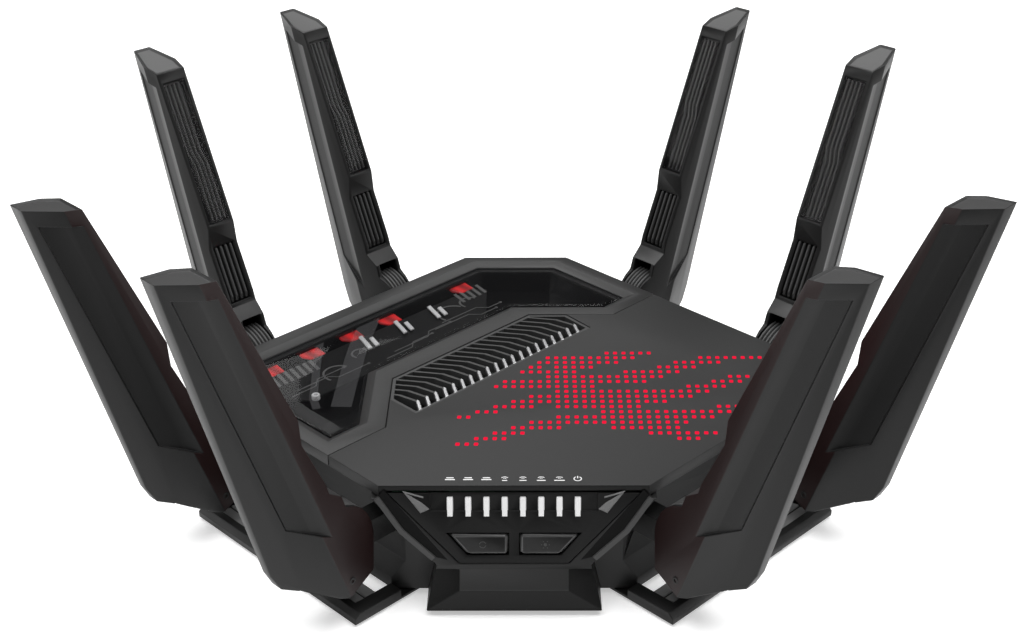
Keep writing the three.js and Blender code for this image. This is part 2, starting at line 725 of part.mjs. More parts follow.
function faceExtrusion(outline, z0, z1) {
  const geometry = new THREE.ExtrudeGeometry(shapeOf(outline), {
    depth: z1 - z0,
    bevelEnabled: false,
  });
  return geometry.translate(0, 0, z0);
}

// Below the window frame the wall goes on up inside the skirt, to close the gap under the lens.
function windowRim(foot) {
  return prism(offset(topPlan, -SKIRT_WALL - GAP), foot, plateFoot - GAP)
    .intersect(prism(offset(framePlan, -GAP), 0, TOP_Z))
    .subtract(prism(lensPlan, lensFoot - GAP, TOP_Z));
}

function bottomCase() {
  const wallTop = skirtFoot - GAP;
  const front = TOP_FRONT - NOSE_SETBACK;
  const lowPlan = plan(BASE_REACH, front, REAR_FACE, BASE_SIDE);
  const midPlan = plan(WALL_REACH, front, REAR_FACE, WALL_SIDE);
  const highPlan = plan(WALL_REACH, front, WALL_BACK, WALL_SIDE);
  const outside = cutShoulders(prism(lowPlan, CASE_BOTTOM, SHOULDER_HIGH))
    .add(prism(midPlan, CASE_BOTTOM, wallTop))
    .add(prism(highPlan, OVERHANG_Z, wallTop))
    .add(nose(0, wallTop))
    .add(windowRim(wallTop));

  const faceFoot = CHIN_TOP + CASE_WALL;
  const midRoom = prism(offset(midPlan, -CASE_WALL), CASE_BOTTOM + CASE_FLOOR, TOP_Z);
  const highRoom = prism(offset(highPlan, -CASE_WALL), OVERHANG_Z + CASE_WALL, TOP_Z);
  const belowFace = box([-FAR, FAR], [-FAR, 0], [0, faceFoot]);
  const noseRoom = nose(CASE_WALL, TOP_Z).subtract(belowFace);

  const plateSeat = faceExtrusion(offset(facePlan, GAP), -FACE_THICK - GAP, NOSE_DEPTH);
  const plateWindow = faceExtrusion(offset(facePlan, -FACE_LEDGE), -NOSE_DEPTH, NOSE_DEPTH);
  const behindFace = box([-FAR, FAR], [-FAR, -TOP_FRONT + NOSE_DEPTH / 2], [faceFoot, TOP_Z]);
  return outside
    .subtract(midRoom)
    .subtract(highRoom)
    .subtract(noseRoom)
    .subtract(inCase(plateSeat))
    .subtract(inCase(plateWindow).intersect(behindFace));
}

let caseShell = bottomCase();

// ---------------------------------------------------------------------------
// Front face, lights and buttons
// ---------------------------------------------------------------------------
const lightX = (i) => (i - (LIGHT_COUNT - 1) / 2) * LIGHT_PITCH;

function lightSlots(margin, z0, z1) {
  const half = LIGHT_WIDTH / 2 + margin;
  const slots = [];
  for (let i = 0; i < LIGHT_COUNT; i += 1) {
    const x = lightX(i);
    slots.push(
      box(
        [x - half, x + half],
        [-LIGHT_TOP - LIGHT_LENGTH - margin, -LIGHT_TOP + margin],
        [z0, z1],
      ),
    );
  }
  return wasm.Manifold.union(slots);
}

function buttonOutline(side) {
  const foot = -BUTTON_TOP - BUTTON_HEIGHT;
  const outline = [
    [BUTTON_INNER, foot],
    [BUTTON_OUTER_FOOT, foot],
    [BUTTON_OUTER_TOP, -BUTTON_TOP],
    [BUTTON_INNER, -BUTTON_TOP],
  ];
  return side > 0 ? outline : outline.map(([x, y]) => [-x, y]).reverse();
}

const lightBandHalf = lightX(LIGHT_COUNT - 1) + LIGHT_BAND_SIDE;
const lightBand = box(
  [-lightBandHalf, lightBandHalf],
  [-LIGHT_BAND_TOP - LIGHT_BAND_LENGTH, -LIGHT_BAND_TOP],
  [-LIGHT_BAND_DEPTH, PAST],
);
let facePlate = solidOf(faceExtrusion(facePlan, -FACE_THICK, 0))
  .subtract(lightBand)
  .subtract(lightSlots(GAP, -FACE_THICK - PAST, PAST));
for (const side of [-1, 1]) {
  facePlate = facePlate.subtract(
    solidOf(faceExtrusion(offset(buttonOutline(side), GAP), -FACE_THICK - PAST, PAST)),
  );
}
face.add(node("front_face", facePlate, SHELL_BLACK));

// The guide's bars stand on a strip behind the plate.
const lightRecess = GAP / 3; // the bars' faces below the plate's
const stripEnd = lightX(LIGHT_COUNT - 1) + LIGHT_WIDTH;
const lightGuide = lightSlots(0, -FACE_THICK - LIGHT_BACK, -lightRecess).add(
  box(
    [-stripEnd, stripEnd],
    [-LIGHT_TOP - LIGHT_LENGTH + LIGHT_STRIP_INSET, -LIGHT_TOP - LIGHT_STRIP_INSET],
    [-FACE_THICK - LIGHT_BACK, -FACE_THICK - GAP],
  ),
);
face.add(node("status_light_guide", lightGuide, LIGHT_WHITE));

for (const [side, name] of [
  [-1, "left_button"],
  [1, "right_button"],
]) {
  const cap = faceExtrusion(buttonOutline(side), -BUTTON_DEPTH, BUTTON_PROUD);
  face.add(node(name, solidOf(cap), SHELL_BLACK));
}

// ---------------------------------------------------------------------------
// Antennas
// ---------------------------------------------------------------------------
// Blade outline in x (outwards) and z, with a round stretch behind the drum.
function bladeOutline() {
  const cheek = [];
  for (let angle = 200; angle >= 125; angle -= 15) {
    cheek.push([CHEEK_RADIUS * Math.cos(rad(angle)), CHEEK_RADIUS * Math.sin(rad(angle))]);
  }
  return [
    INNER_KNEE,
    TIP_INNER,
    TIP_OUTER,
    HEEL,
    ...HEEL_UNDER,
    [CHEEK_FOOT_X[1], CHEEK_FOOT_Z],
    [CHEEK_FOOT_X[0], CHEEK_FOOT_Z],
    ...cheek,
    LEDGE,
    ...LEDGE_STEPS,
  ].reverse();
}

// The upper inner edge runs straight from the knee to the tip.
function innerEdgeX(z) {
  const slope = (TIP_INNER[0] - INNER_KNEE[0]) / (TIP_INNER[1] - INNER_KNEE[1]);
  return INNER_KNEE[0] + (z - INNER_KNEE[1]) * slope;
}

// The cover's outline: a strip along the upper inner edge.
function coverOutline(margin) {
  const outside = 2 * COVER_DEPTH;
  return [
    [innerEdgeX(COVER_FOOT) - outside, COVER_FOOT - margin],
    [innerEdgeX(COVER_FOOT) + COVER_DEPTH + margin, COVER_FOOT - margin],
    [innerEdgeX(COVER_TOP) + COVER_DEPTH + margin, COVER_TOP + margin],
    [innerEdgeX(COVER_TOP) - outside, COVER_TOP + margin],
  ];
}

// Each broad face is two planes that meet along the ridge.
function bladePlanes(s) {
  return {
    ridgeTip: V(RIDGE_TIP[0], s * RIDGE_TIP[1], RIDGE_TIP[2]),
    ridgeFoot: V(RIDGE_FOOT[0], s * RIDGE_FOOT[1], RIDGE_FOOT[2]),
    outer: V(TIP_OUTER[0], s * OUTER_HALF_TIP, TIP_OUTER[1]),
    inner: V(LEDGE[0] + COVER_DEPTH / 2, s * LEDGE_HALF, LEDGE[1]),
  };
}

function blade() {
  const middle = V(RIDGE_FOOT[0], 0, LEDGE[1]);
  let solid = wallAlongY(bladeOutline(), -RIDGE_FOOT[1] - PAST, RIDGE_FOOT[1] + PAST);
  for (const s of [-1, 1]) {
    const { ridgeTip, ridgeFoot, outer, inner } = bladePlanes(s);
    solid = cutByPoints(solid, ridgeTip, ridgeFoot, outer, middle);
    solid = cutByPoints(solid, ridgeTip, ridgeFoot, inner, middle);
    solid = solid.subtract(sideGroove(s));
  }
  const pocket = cylinderAlongY(DRUM_RADIUS + DRUM_ROOM, FORK_HALF, 32)
    .add(box([-FAR, 0], [-FORK_HALF, FORK_HALF], [-FAR, LEDGE[1]]))
    .add(box([-FAR, FAR], [-FORK_HALF, FORK_HALF], [-FAR, FORK_OPEN_BELOW]));
  const coverPocket = wallAlongY(coverOutline(GAP), -COVER_HALF - GAP, COVER_HALF + GAP);
  const insertPocket = box(
    [-FAR, INSERT_FLOOR],
    [-COVER_HALF, COVER_HALF],
    [INSERT_FOOT, INSERT_TOP],
  );
  const bore = cylinderAlongY(PIN_RADIUS + GAP, PIN_HALF + GAP, 24);
  return solid.subtract(pocket).subtract(coverPocket).subtract(insertPocket).subtract(bore);
}

// A shallow trough on a broad face, across the ridge. Its section is carried up the blade and
// leans in with the ridge, and two slanting ends stop it.
function sideGroove(s) {
  const width = RIDGE_FOOT[1];
  const outerSlope = 0.375; // fall of the broad face outwards and inwards from the ridge
  const innerSlope = 0.193;
  const open = 3.5; // how far the section runs out past the face
  const outerY = width - outerSlope * (GROOVE_OUTER - RIDGE_FOOT[0]);
  const floorY = width - outerSlope * (GROOVE_FLOOR - RIDGE_FOOT[0]) - GROOVE_DEPTH;
  const innerY = width - innerSlope * (RIDGE_FOOT[0] - GROOVE_INNER);
  const section = [
    [GROOVE_OUTER + open * outerSlope, outerY + open],
    [GROOVE_OUTER, outerY],
    [GROOVE_FLOOR, floorY],
    [RIDGE_FOOT[0], floorY + GROOVE_RISE],
    [GROOVE_INNER, innerY],
    [GROOVE_INNER - open, innerY + open],
  ].map(([x, y]) => [x, s * y]);
  const geometry = new THREE.ExtrudeGeometry(shapeOf(s > 0 ? section : section.reverse()), {
    depth: FAR / 2,
    bevelEnabled: false,
  });
  const taper = Math.atan((RIDGE_FOOT[1] - RIDGE_TIP[1]) / (RIDGE_TIP[2] - RIDGE_FOOT[2]));
  geometry.rotateX(s * taper).translate(0, 0, RIDGE_FOOT[2]);
  const tipSlope = (TIP_OUTER[1] - TIP_INNER[1]) / (TIP_OUTER[0] - TIP_INNER[0]);
  const topAt = (x) => TIP_INNER[1] - GROOVE_BELOW_TIP + tipSlope * (x - TIP_INNER[0]);
  const footAt = (x) => GROOVE_FOOT_Z + (x - GROOVE_INNER) * GROOVE_FOOT_SLOPE;
  const reach = wallAlongY(
    [
      [-HEEL[0], footAt(-HEEL[0])],
      [HEEL[0], footAt(HEEL[0])],
      [HEEL[0], topAt(HEEL[0])],
      [-HEEL[0], topAt(-HEEL[0])],
    ],
    -2 * width,
    2 * width,
  );
  return solidOf(geometry).intersect(reach);
}

const bladeSolid = blade();
const coverSolid = wallAlongY(coverOutline(0), -COVER_HALF, COVER_HALF).intersect(
  wallAlongY(bladeOutline(), -RIDGE_FOOT[1], RIDGE_FOOT[1]),
);
const pinSolid = cylinderAlongY(PIN_RADIUS, PIN_HALF, 20);

// The knuckle: a drum on the hinge axis, with an arm back through the case wall.
const armRoot = WALL_REACH - CASE_WALL - GAP - HINGE_REACH;
const knuckleSolid = cylinderAlongY(DRUM_RADIUS, DRUM_HALF, 32)
  .add(box([armRoot - PAST, 0], [-DRUM_HALF, DRUM_HALF], [ARM_BOTTOM, ARM_TOP]))
  .add(
    box(
      [armRoot - ARM_FLANGE_THICK, armRoot],
      [-ARM_FLANGE_HALF, ARM_FLANGE_HALF],
      [ARM_BOTTOM - ARM_FLANGE_LIP, ARM_TOP + ARM_FLANGE_LIP],
    ),
  )
  .subtract(cylinderAlongY(PIN_RADIUS + GAP, DRUM_HALF + PAST, 24));

// Room in the case for a knuckle's arm, outwards from the inner face of the wall, and its flange.
function knuckleRoom(y) {
  const armHalf = DRUM_HALF + GAP;
  const flangeHalf = ARM_FLANGE_HALF + GAP;
  const lip = ARM_FLANGE_LIP + GAP;
  const flangeX = HINGE_REACH + armRoot;
  return box(
    [flangeX, HINGE_REACH],
    [y - armHalf, y + armHalf],
    [HINGE_Z + ARM_BOTTOM - GAP, HINGE_Z + ARM_TOP + GAP],
  ).add(
    box(
      [flangeX - ARM_FLANGE_THICK - GAP, flangeX],
      [y - flangeHalf, y + flangeHalf],
      [HINGE_Z + ARM_BOTTOM - lip, HINGE_Z + ARM_TOP + lip],
    ),
  );
}

for (const side of SIDES) {
  const frame = new THREE.Group();
  frame.rotation.z = rad(side.angle);
  router.add(frame);
  side.places.forEach((place, i) => {
    const y = place * side.along;
    const label = side.name + "_" + (i + 1);
    const hinge = new THREE.Group();
    hinge.position.set(HINGE_REACH, y, HINGE_Z);
    frame.add(hinge);
    hinge.add(node("knuckle_" + label, knuckleSolid, SHELL_BLACK));
    const antenna = new THREE.Group();
    antenna.rotation.y = rad(ANTENNA_LEAN);
    hinge.add(antenna);
    antenna.add(node("antenna_" + label, bladeSolid, BLADE_BLACK));
    antenna.add(node("antenna_cover_" + label, coverSolid, CLEAR));
    antenna.add(node("hinge_pin_" + label, pinSolid, SOCKET_STEEL));

    caseShell = caseShell.subtract(knuckleRoom(y).rotate([0, 0, side.angle]));
  });
}

// ---------------------------------------------------------------------------
// Feet
// ---------------------------------------------------------------------------
// A flat frame: an outer bar on the floor, two arms back under the case, and a thin deck inside
// the bar. The slot between the deck and the case is open.
function foot() {
  const top = FOOT_BOTTOM + FOOT_HEIGHT;
  const half = (FRONT_PLACES[1] - FRONT_PLACES[0]) / 2 + FOOT_PAST_HINGE;
  const inside = FOOT_REACH - FOOT_BAR;
  const underCase = BASE_REACH - FOOT_ROOT;
  const slotIn = BASE_REACH - CASE_WALL;
  const frame = box([underCase, FOOT_REACH], [-half, half], [FOOT_BOTTOM, top])
    .subtract(box([slotIn, inside], [-half + FOOT_ARM, half - FOOT_ARM], [0, top + PAST]))
    .add(
      box(
        [inside - FOOT_DECK_WIDTH, inside + PAST],
        [-half + PAST, half - PAST],
        [FOOT_BOTTOM, FOOT_DECK_Z],
      ),
    )
    .subtract(box([0, BASE_REACH + GAP], [-FAR, FAR], [CASE_BOTTOM - GAP, FAR]));
  return cutBeyond(frame, V(FOOT_REACH, 0, top - BAR_EDGE_DROP), V(1, 0, BAR_SLOPE));
}

const footSolid = foot();
const padMiddle = FOOT_REACH - FOOT_BAR / 2;
const padSolid = box(
  [padMiddle - PAD_WIDTH / 2, padMiddle + PAD_WIDTH / 2],
  [-PAD_LENGTH / 2, PAD_LENGTH / 2],
  [0, FOOT_BOTTOM - GAP],
);

for (const side of SIDES) {
  const frame = new THREE.Group();
  frame.rotation.z = rad(side.angle);
  const middle = (side.along * (side.places[0] + side.places[1])) / 2;
  frame.position.set(
    -middle * Math.sin(rad(side.angle)),
    middle * Math.cos(rad(side.angle)),
    0,
  );
  router.add(frame);
  frame.add(node("foot_" + side.name, footSolid, SHELL_BLACK));
  frame.add(node("foot_pad_" + side.name, padSolid, RUBBER));
}

// ---------------------------------------------------------------------------
// Rear connectors
// ---------------------------------------------------------------------------
const panelFront = REAR_FACE - PANEL_THICK;
const portTip = REAR_FACE + PORT_PROUD;
const lanWide = LAN_COUNT * LAN_PITCH;
// Middles of the connectors, from +X, which is the left as seen from behind
const dcX = PORTS_WIDE / 2 - DC_WIDTH / 2;
const switchX = dcX - DC_WIDTH / 2 - PORT_SPACING - SWITCH_WIDTH / 2;
const usbX = switchX - SWITCH_WIDTH / 2 - PORT_SPACING - USB_WIDTH / 2;
const lanX = usbX - USB_WIDTH / 2 - PORT_SPACING - lanWide / 2;

const around = (middle, size) => [middle - size / 2, middle + size / 2];

function block(x, width, height, depth) {
  return box(around(x, width), [portTip - depth, portTip], [PORT_FLOOR, PORT_FLOOR + height]);
}

function socket(x, z, [width, height]) {
  return box(around(x, width), [portTip - SOCKET_DEPTH, portTip + PAST], around(z, height));
}

const lanZ = PORT_FLOOR + LAN_HEIGHT / 2;
const latchZ = lanZ + LAN_SOCKET[1] / 2 + LAN_LATCH[1] / 2 - GAP;
let lanPorts = block(lanX, lanWide, LAN_HEIGHT, LAN_DEPTH);
for (let i = 0; i < LAN_COUNT; i += 1) {
  const x = lanX + (i - (LAN_COUNT - 1) / 2) * LAN_PITCH;
  lanPorts = lanPorts.subtract(socket(x, lanZ, LAN_SOCKET)).subtract(socket(x, latchZ, LAN_LATCH));
}
router.add(node("network_ports", lanPorts, SOCKET_STEEL));

let usbPorts = block(usbX, USB_WIDTH, USB_HEIGHT, LAN_DEPTH);
for (const level of [1, 3]) {
  usbPorts = usbPorts.subtract(socket(usbX, PORT_FLOOR + (USB_HEIGHT * level) / 4, USB_SOCKET));
}
router.add(node("usb_ports", usbPorts, SOCKET_STEEL));

const dcZ = PORT_FLOOR + DC_HEIGHT / 2;
const dcHole = cylinderAlongY(DC_HOLE_RADIUS, DC_HOLE_DEPTH, 20).translate([dcX, portTip, dcZ]);
const dcPin = cylinderAlongY(DC_PIN_RADIUS, DC_PIN_HALF, 12);
const dcInlet = block(dcX, DC_WIDTH, DC_HEIGHT, DC_DEPTH)
  .subtract(dcHole)
  .add(dcPin.translate([dcX, portTip - DC_PIN_HALF - PAST, dcZ]));
router.add(node("power_inlet", dcInlet, GLOSS_BLACK));

// The rocker turns on a cross axis behind the panel. Its outline is in y and z from that axis.
const rockerZ = PORT_FLOOR + SWITCH_HEIGHT / 2;
const rockerPivotY = panelFront - ROCKER_PIVOT;
const rockerHalf = SWITCH_HEIGHT / 2 - 2 * GAP;
const rockerFace = REAR_FACE + ROCKER_PROUD - rockerPivotY;
const rockerOutline = [
  [0, -ROCKER_ROOT],
  [rockerFace, -rockerHalf],
  [rockerFace - PAST, 0],
  [rockerFace, rockerHalf],
  [0, ROCKER_ROOT],
];
const rockerReach = SWITCH_WIDTH / 2 - ROCKER_SIDE;
const rocker = wallAlongX(rockerOutline, switchX - rockerReach, switchX + rockerReach);
const rockerMesh = node("power_switch", rocker, GLOSS_BLACK);
rockerMesh.position.set(0, rockerPivotY, rockerZ);
rockerMesh.rotation.x = rad(ROCKER_TILT);
router.add(rockerMesh);

const resetZ = PORT_FLOOR + DC_HEIGHT + RESET_ABOVE;
const resetY = REAR_FACE - RESET_BEHIND - RESET_HALF;
const plunger = cylinderAlongY(RESET_RADIUS, RESET_HALF, 12).translate([dcX, resetY, resetZ]);
router.add(node("reset_button", plunger, DOT_RED));

let panel = box([-PANEL_HALF, PANEL_HALF], [panelFront, REAR_FACE], [PANEL_FOOT, PANEL_TOP]);
for (const [x, width, height] of [
  [lanX, lanWide, LAN_HEIGHT],
  [usbX, USB_WIDTH, USB_HEIGHT],
  [dcX, DC_WIDTH, DC_HEIGHT],
  [switchX, SWITCH_WIDTH, SWITCH_HEIGHT],
]) {
  panel = panel.subtract(
    box(
      around(x, width + 2 * GAP),
      [panelFront - PAST, REAR_FACE + PAST],
      [PORT_FLOOR - GAP, PORT_FLOOR + height + GAP],
    ),
  );
}
const resetHole = cylinderAlongY(RESET_RADIUS + GAP, PANEL_THICK + PAST, 16);
panel = panel.subtract(resetHole.translate([dcX, REAR_FACE, resetZ]));
router.add(node("rear_panel", panel, GLOSS_BLACK));

caseShell = caseShell.subtract(
  box(
    [-PANEL_HALF - GAP, PANEL_HALF + GAP],
    [panelFront - GAP - CASE_WALL, REAR_FACE + BASE_FLARE],
    [PANEL_FOOT - GAP, PANEL_TOP + GAP],
  ),
);
router.add(node("bottom_case", caseShell, SHELL_BLACK));

// ---------------------------------------------------------------------------
// Origin: the middle of the object, on the floor
// ---------------------------------------------------------------------------
function middleOnFloor(group) {
  const bounds = new THREE.Box3().setFromObject(group, true);
  const middle = bounds.getCenter(new THREE.Vector3());
  group.position.set(-middle.x, -middle.y, -bounds.min.z);
}

middleOnFloor(router);

export default router;
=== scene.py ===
"""Eight-antenna wireless router: the looks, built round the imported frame. Metres, +Z up, front -Y.

Local points are in millimetres. A Place turns them into the row's frame, and takes its origin and
axes from the frame's own joints and boxes. A form is a pair: an array of points, a list of faces.
"""

import json
import math

import bmesh
import bpy
import numpy as np
from mathutils import Matrix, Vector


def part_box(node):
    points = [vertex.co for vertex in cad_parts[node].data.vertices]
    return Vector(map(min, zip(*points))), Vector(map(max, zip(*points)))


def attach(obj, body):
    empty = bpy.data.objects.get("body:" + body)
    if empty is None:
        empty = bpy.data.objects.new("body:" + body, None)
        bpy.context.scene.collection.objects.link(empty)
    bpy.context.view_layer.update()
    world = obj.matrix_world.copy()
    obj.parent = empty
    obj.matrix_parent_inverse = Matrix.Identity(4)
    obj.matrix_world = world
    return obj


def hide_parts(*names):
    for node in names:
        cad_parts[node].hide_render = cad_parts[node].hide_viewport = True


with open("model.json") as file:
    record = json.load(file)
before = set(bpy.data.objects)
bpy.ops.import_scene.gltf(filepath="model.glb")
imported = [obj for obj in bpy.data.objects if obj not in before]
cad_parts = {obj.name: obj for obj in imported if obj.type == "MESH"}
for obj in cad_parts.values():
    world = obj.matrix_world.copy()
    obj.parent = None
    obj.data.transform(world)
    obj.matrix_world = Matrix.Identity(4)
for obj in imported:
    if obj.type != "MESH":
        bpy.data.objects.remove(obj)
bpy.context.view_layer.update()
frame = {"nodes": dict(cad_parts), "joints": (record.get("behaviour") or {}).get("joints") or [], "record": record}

MM = 0.001
ROOT2 = math.sqrt(2)
BODIES = {n: b for b, nodes in frame["record"]["behaviour"]["bodies"].items() for n in nodes}
JOINTS = {j["name"]: j for j in frame["joints"]}


# ---------------------------------------------------------------------------
# Places
# ---------------------------------------------------------------------------
class Place:
    """A local frame: an origin in metres and three axes. Local points are in millimetres."""

    def __init__(self, origin, x, y, z):
        self.origin = np.array(origin, float)
        self.axes = np.array([x, y, z], float)

    def __call__(self, points):
        """Each point is the origin plus its three coordinates along the three axes."""
        return self.origin + (np.asarray(points, float) * MM) @ self.axes

    def local(self, points):
        """The way back: the three coordinates of points in the row's frame, in millimetres."""
        return (np.asarray(points, float) - self.origin) @ self.axes.T / MM

    def turned(self, degrees):
        """The same frame turned about its own Z."""
        c = math.cos(math.radians(degrees))
        s = math.sin(math.radians(degrees))
        x, y, z = self.axes
        return Place(self.origin, c * x + s * y, c * y - s * x, z)

    def moved(self, point):
        """The same axes with the origin at a local point."""
        return Place(self(point), *self.axes)


UP = np.array([0.0, 0.0, 1.0])
SIDES = ("front_left", "front_right", "back_left", "back_right")
LABELS = [f"{side}_{i}" for side in SIDES for i in (1, 2)]
ANTENNA_LEAN = -JOINTS["tilt_front_left_1"]["range_deg"][0]


def outward(label):
    """Away from the case at a hinge: the hinge axis crossed with up."""
    return np.cross(JOINTS["tilt_" + label]["axis"], UP)


def hinge_place(label, lean=0.0):
    """X outwards, Y along the hinge axis, Z up, leaned outwards by some degrees."""
    joint = JOINTS["tilt_" + label]
    out = outward(label)
    c = math.cos(math.radians(lean))
    s = math.sin(math.radians(lean))
    return Place(joint["pos_m"], c * out - s * UP, joint["axis"], s * out + c * UP)


def along_out(label):
    """How far a hinge is out from the row's origin, in metres."""
    return float(np.dot(JOINTS["tilt_" + label]["pos_m"], outward(label)))


# Opposite hinges are equally far from the case's middle, so their difference places it.
CASE_Y = -(along_out("front_left_1") - along_out("back_right_1")) / ROOT2
HINGE_REACH = (along_out("front_left_1") + along_out("back_right_1")) / 2 / MM
TOP_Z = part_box("top_cover")[1].z / MM
TOP_FRONT = (CASE_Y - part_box("top_cover")[0].y) / MM
HINGE_OUTSIDE = 25.5  # the hinges stand this far outside the top's slanted sides
TOP_REACH = HINGE_REACH - HINGE_OUTSIDE
LEAN = math.radians(11.8)  # of the front face

CASE = Place((0, CASE_Y, 0), (1, 0, 0), (0, 1, 0), UP)
VENT = CASE.turned(45)
FACE = Place(
    CASE((0, -TOP_FRONT, TOP_Z)),
    (1, 0, 0),
    (0, math.sin(LEAN), math.cos(LEAN)),
    (0, -math.cos(LEAN), math.sin(LEAN)),
)
REAR = Place((0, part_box("rear_panel")[1].y, 0), (1, 0, 0), (0, 1, 0), UP)


def foot_place(side):
    """X outwards, Y along the side, Z up, on the floor level with the middle of its hinges."""
    ends = [np.array(JOINTS[f"tilt_{side}_{i}"]["pos_m"]) for i in (1, 2)]
    out = outward(side + "_1")
    middle = (ends[0] + ends[1]) / 2 - HINGE_REACH * MM * out
    return Place((middle[0], middle[1], 0), out, JOINTS[f"tilt_{side}_1"]["axis"], UP)


# ---------------------------------------------------------------------------
# Camera, floor and light
# ---------------------------------------------------------------------------
def aimed(obj, position, forward, up):
    """Puts a camera or a light at a point, its view along forward and its top towards up."""
    f = np.array(forward, float)
    f /= np.linalg.norm(f)
    right = np.cross(f, up)
    right /= np.linalg.norm(right)
    rows = np.identity(4)
    rows[:3, 0], rows[:3, 1], rows[:3, 2], rows[:3, 3] = right, np.cross(right, f), -f, position
    obj.matrix_world = Matrix(rows.tolist())
    bpy.context.scene.collection.objects.link(obj)
    return obj


def add_camera():
    """The lens and the place that show the whole router from the front and above."""
    camera = bpy.data.cameras.new("camera")
    camera.sensor_width = 36.0
    camera.lens = 56.51
    camera.clip_end = 50.0
    obj = bpy.data.objects.new("camera", camera)
    position = (0.00444, -0.7233, 0.4774)
    bpy.context.scene.camera = aimed(
        obj, position, (-0.0069, 0.8843, -0.4668), (0.0022, 0.4668, 0.8844)
    )


def add_softbox(name, position, target, size, power):
    """A rectangular area light at a point, facing a target. Power is in watts."""
    light = bpy.data.lights.new(name, "AREA")
    light.shape = "RECTANGLE"
    light.size, light.size_y = size
    light.energy = power
    forward = np.array(target, float) - np.array(position, float)
    up = (0, 1, 0.01) if abs(forward[2]) > 0.9 * np.linalg.norm(forward) else (0, 0, 1)
    aimed(bpy.data.objects.new(name, light), position, forward, up)


def add_studio():
    """A wide pale floor, a dim sky, a large softbox above, one on each side, one high behind."""
    world = bpy.data.worlds.new("studio")
    world.use_nodes = True
    world.node_tree.nodes["Background"].inputs["Color"].default_value = (1, 1, 1, 1)
    world.node_tree.nodes["Background"].inputs["Strength"].default_value = 0.10
    bpy.context.scene.world = world
    add_softbox("overhead", (0, -0.15, 1.7), (0, 0, 0), (2.2, 1.6), 44)
    add_softbox("left_side", (-1.7, 0.1, 0.7), (0, 0, 0.1), (1.0, 1.0), 10)
    add_softbox("right_side", (1.7, 0.1, 0.7), (0, 0, 0.1), (1.0, 1.0), 10)
    add_softbox("back_high", (0, 1.5, 1.55), (0, 0, 0.05), (1.8, 0.7), 9)
    half = 12.0
    corners = np.array([[-half, -half, 0], [half, -half, 0], [half, half, 0], [-half, half, 0]])
    mesh = bpy.data.meshes.new("floor")
    mesh.from_pydata(corners.tolist(), [], [[0, 1, 2, 3]])
    floor = bpy.data.objects.new("floor", mesh)
    bpy.context.scene.collection.objects.link(floor)
    material = bpy.data.materials.new("pale_floor")
    material.use_nodes = True
    shader = material.node_tree.nodes["Principled BSDF"]
    shader.inputs["Base Color"].default_value = (0.88, 0.88, 0.88, 1)
    shader.inputs["Roughness"].default_value = 0.9
    shader.inputs["Emission Color"].default_value = (1, 1, 1, 1)
    shader.inputs["Emission Strength"].default_value = 0.45
    mesh.materials.append(material)
    bpy.context.scene.view_settings.view_transform = "Standard"


add_camera()
add_studio()


# ---------------------------------------------------------------------------
# Materials
# ---------------------------------------------------------------------------
def new_group(name, inputs, outputs):
    """An empty shader node group with named number inputs and outputs."""
    tree = bpy.data.node_groups.new(name, "ShaderNodeTree")
    for label, value in inputs:
        socket = tree.interface.new_socket(label, in_out="INPUT", socket_type="NodeSocketFloat")
        socket.default_value = value
    for label in outputs:
        tree.interface.new_socket(label, in_out="OUTPUT", socket_type="NodeSocketFloat")
    return tree, tree.nodes.new("NodeGroupInput"), tree.nodes.new("NodeGroupOutput")


def add_node(tree, kind, values=None, **settings):
    """A node with settings, and values for its named or numbered inputs."""
    made = tree.nodes.new(kind)
    for label, value in settings.items():
        setattr(made, label, value)
    for label, value in (values or {}).items():
        made.inputs[label].default_value = value
    return made


def grain_group():
    """Fine spark-eroded grain for moulded plastic, and a slow drift of its tone."""
    tree, start, end = new_group(
        "moulded_grain", [("Scale", 2200.0), ("Contrast", 0.1)], ["Height", "Tone"]
    )
    place = add_node(tree, "ShaderNodeTexCoord")
    fine = add_node(tree, "ShaderNodeTexNoise", {"Detail": 3.0, "Roughness": 0.6})
    slow = add_node(tree, "ShaderNodeTexNoise", {"Scale": 14.0, "Detail": 3.0})
    swing = add_node(tree, "ShaderNodeMath", {1: 0.5}, operation="SUBTRACT")
    size = add_node(tree, "ShaderNodeMath", operation="MULTIPLY")
    total = add_node(tree, "ShaderNodeMath", {1: 0.5}, operation="ADD")
    links = tree.links
    links.new(place.outputs["Object"], fine.inputs["Vector"])
    links.new(place.outputs["Object"], slow.inputs["Vector"])
    links.new(start.outputs["Scale"], fine.inputs["Scale"])
    links.new(slow.outputs["Fac"], swing.inputs[0])
    links.new(swing.outputs[0], size.inputs[0])
    links.new(start.outputs["Contrast"], size.inputs[1])
    links.new(size.outputs[0], total.inputs[0])
    links.new(fine.outputs["Fac"], end.inputs["Height"])
    links.new(total.outputs[0], end.inputs["Tone"])
    return tree


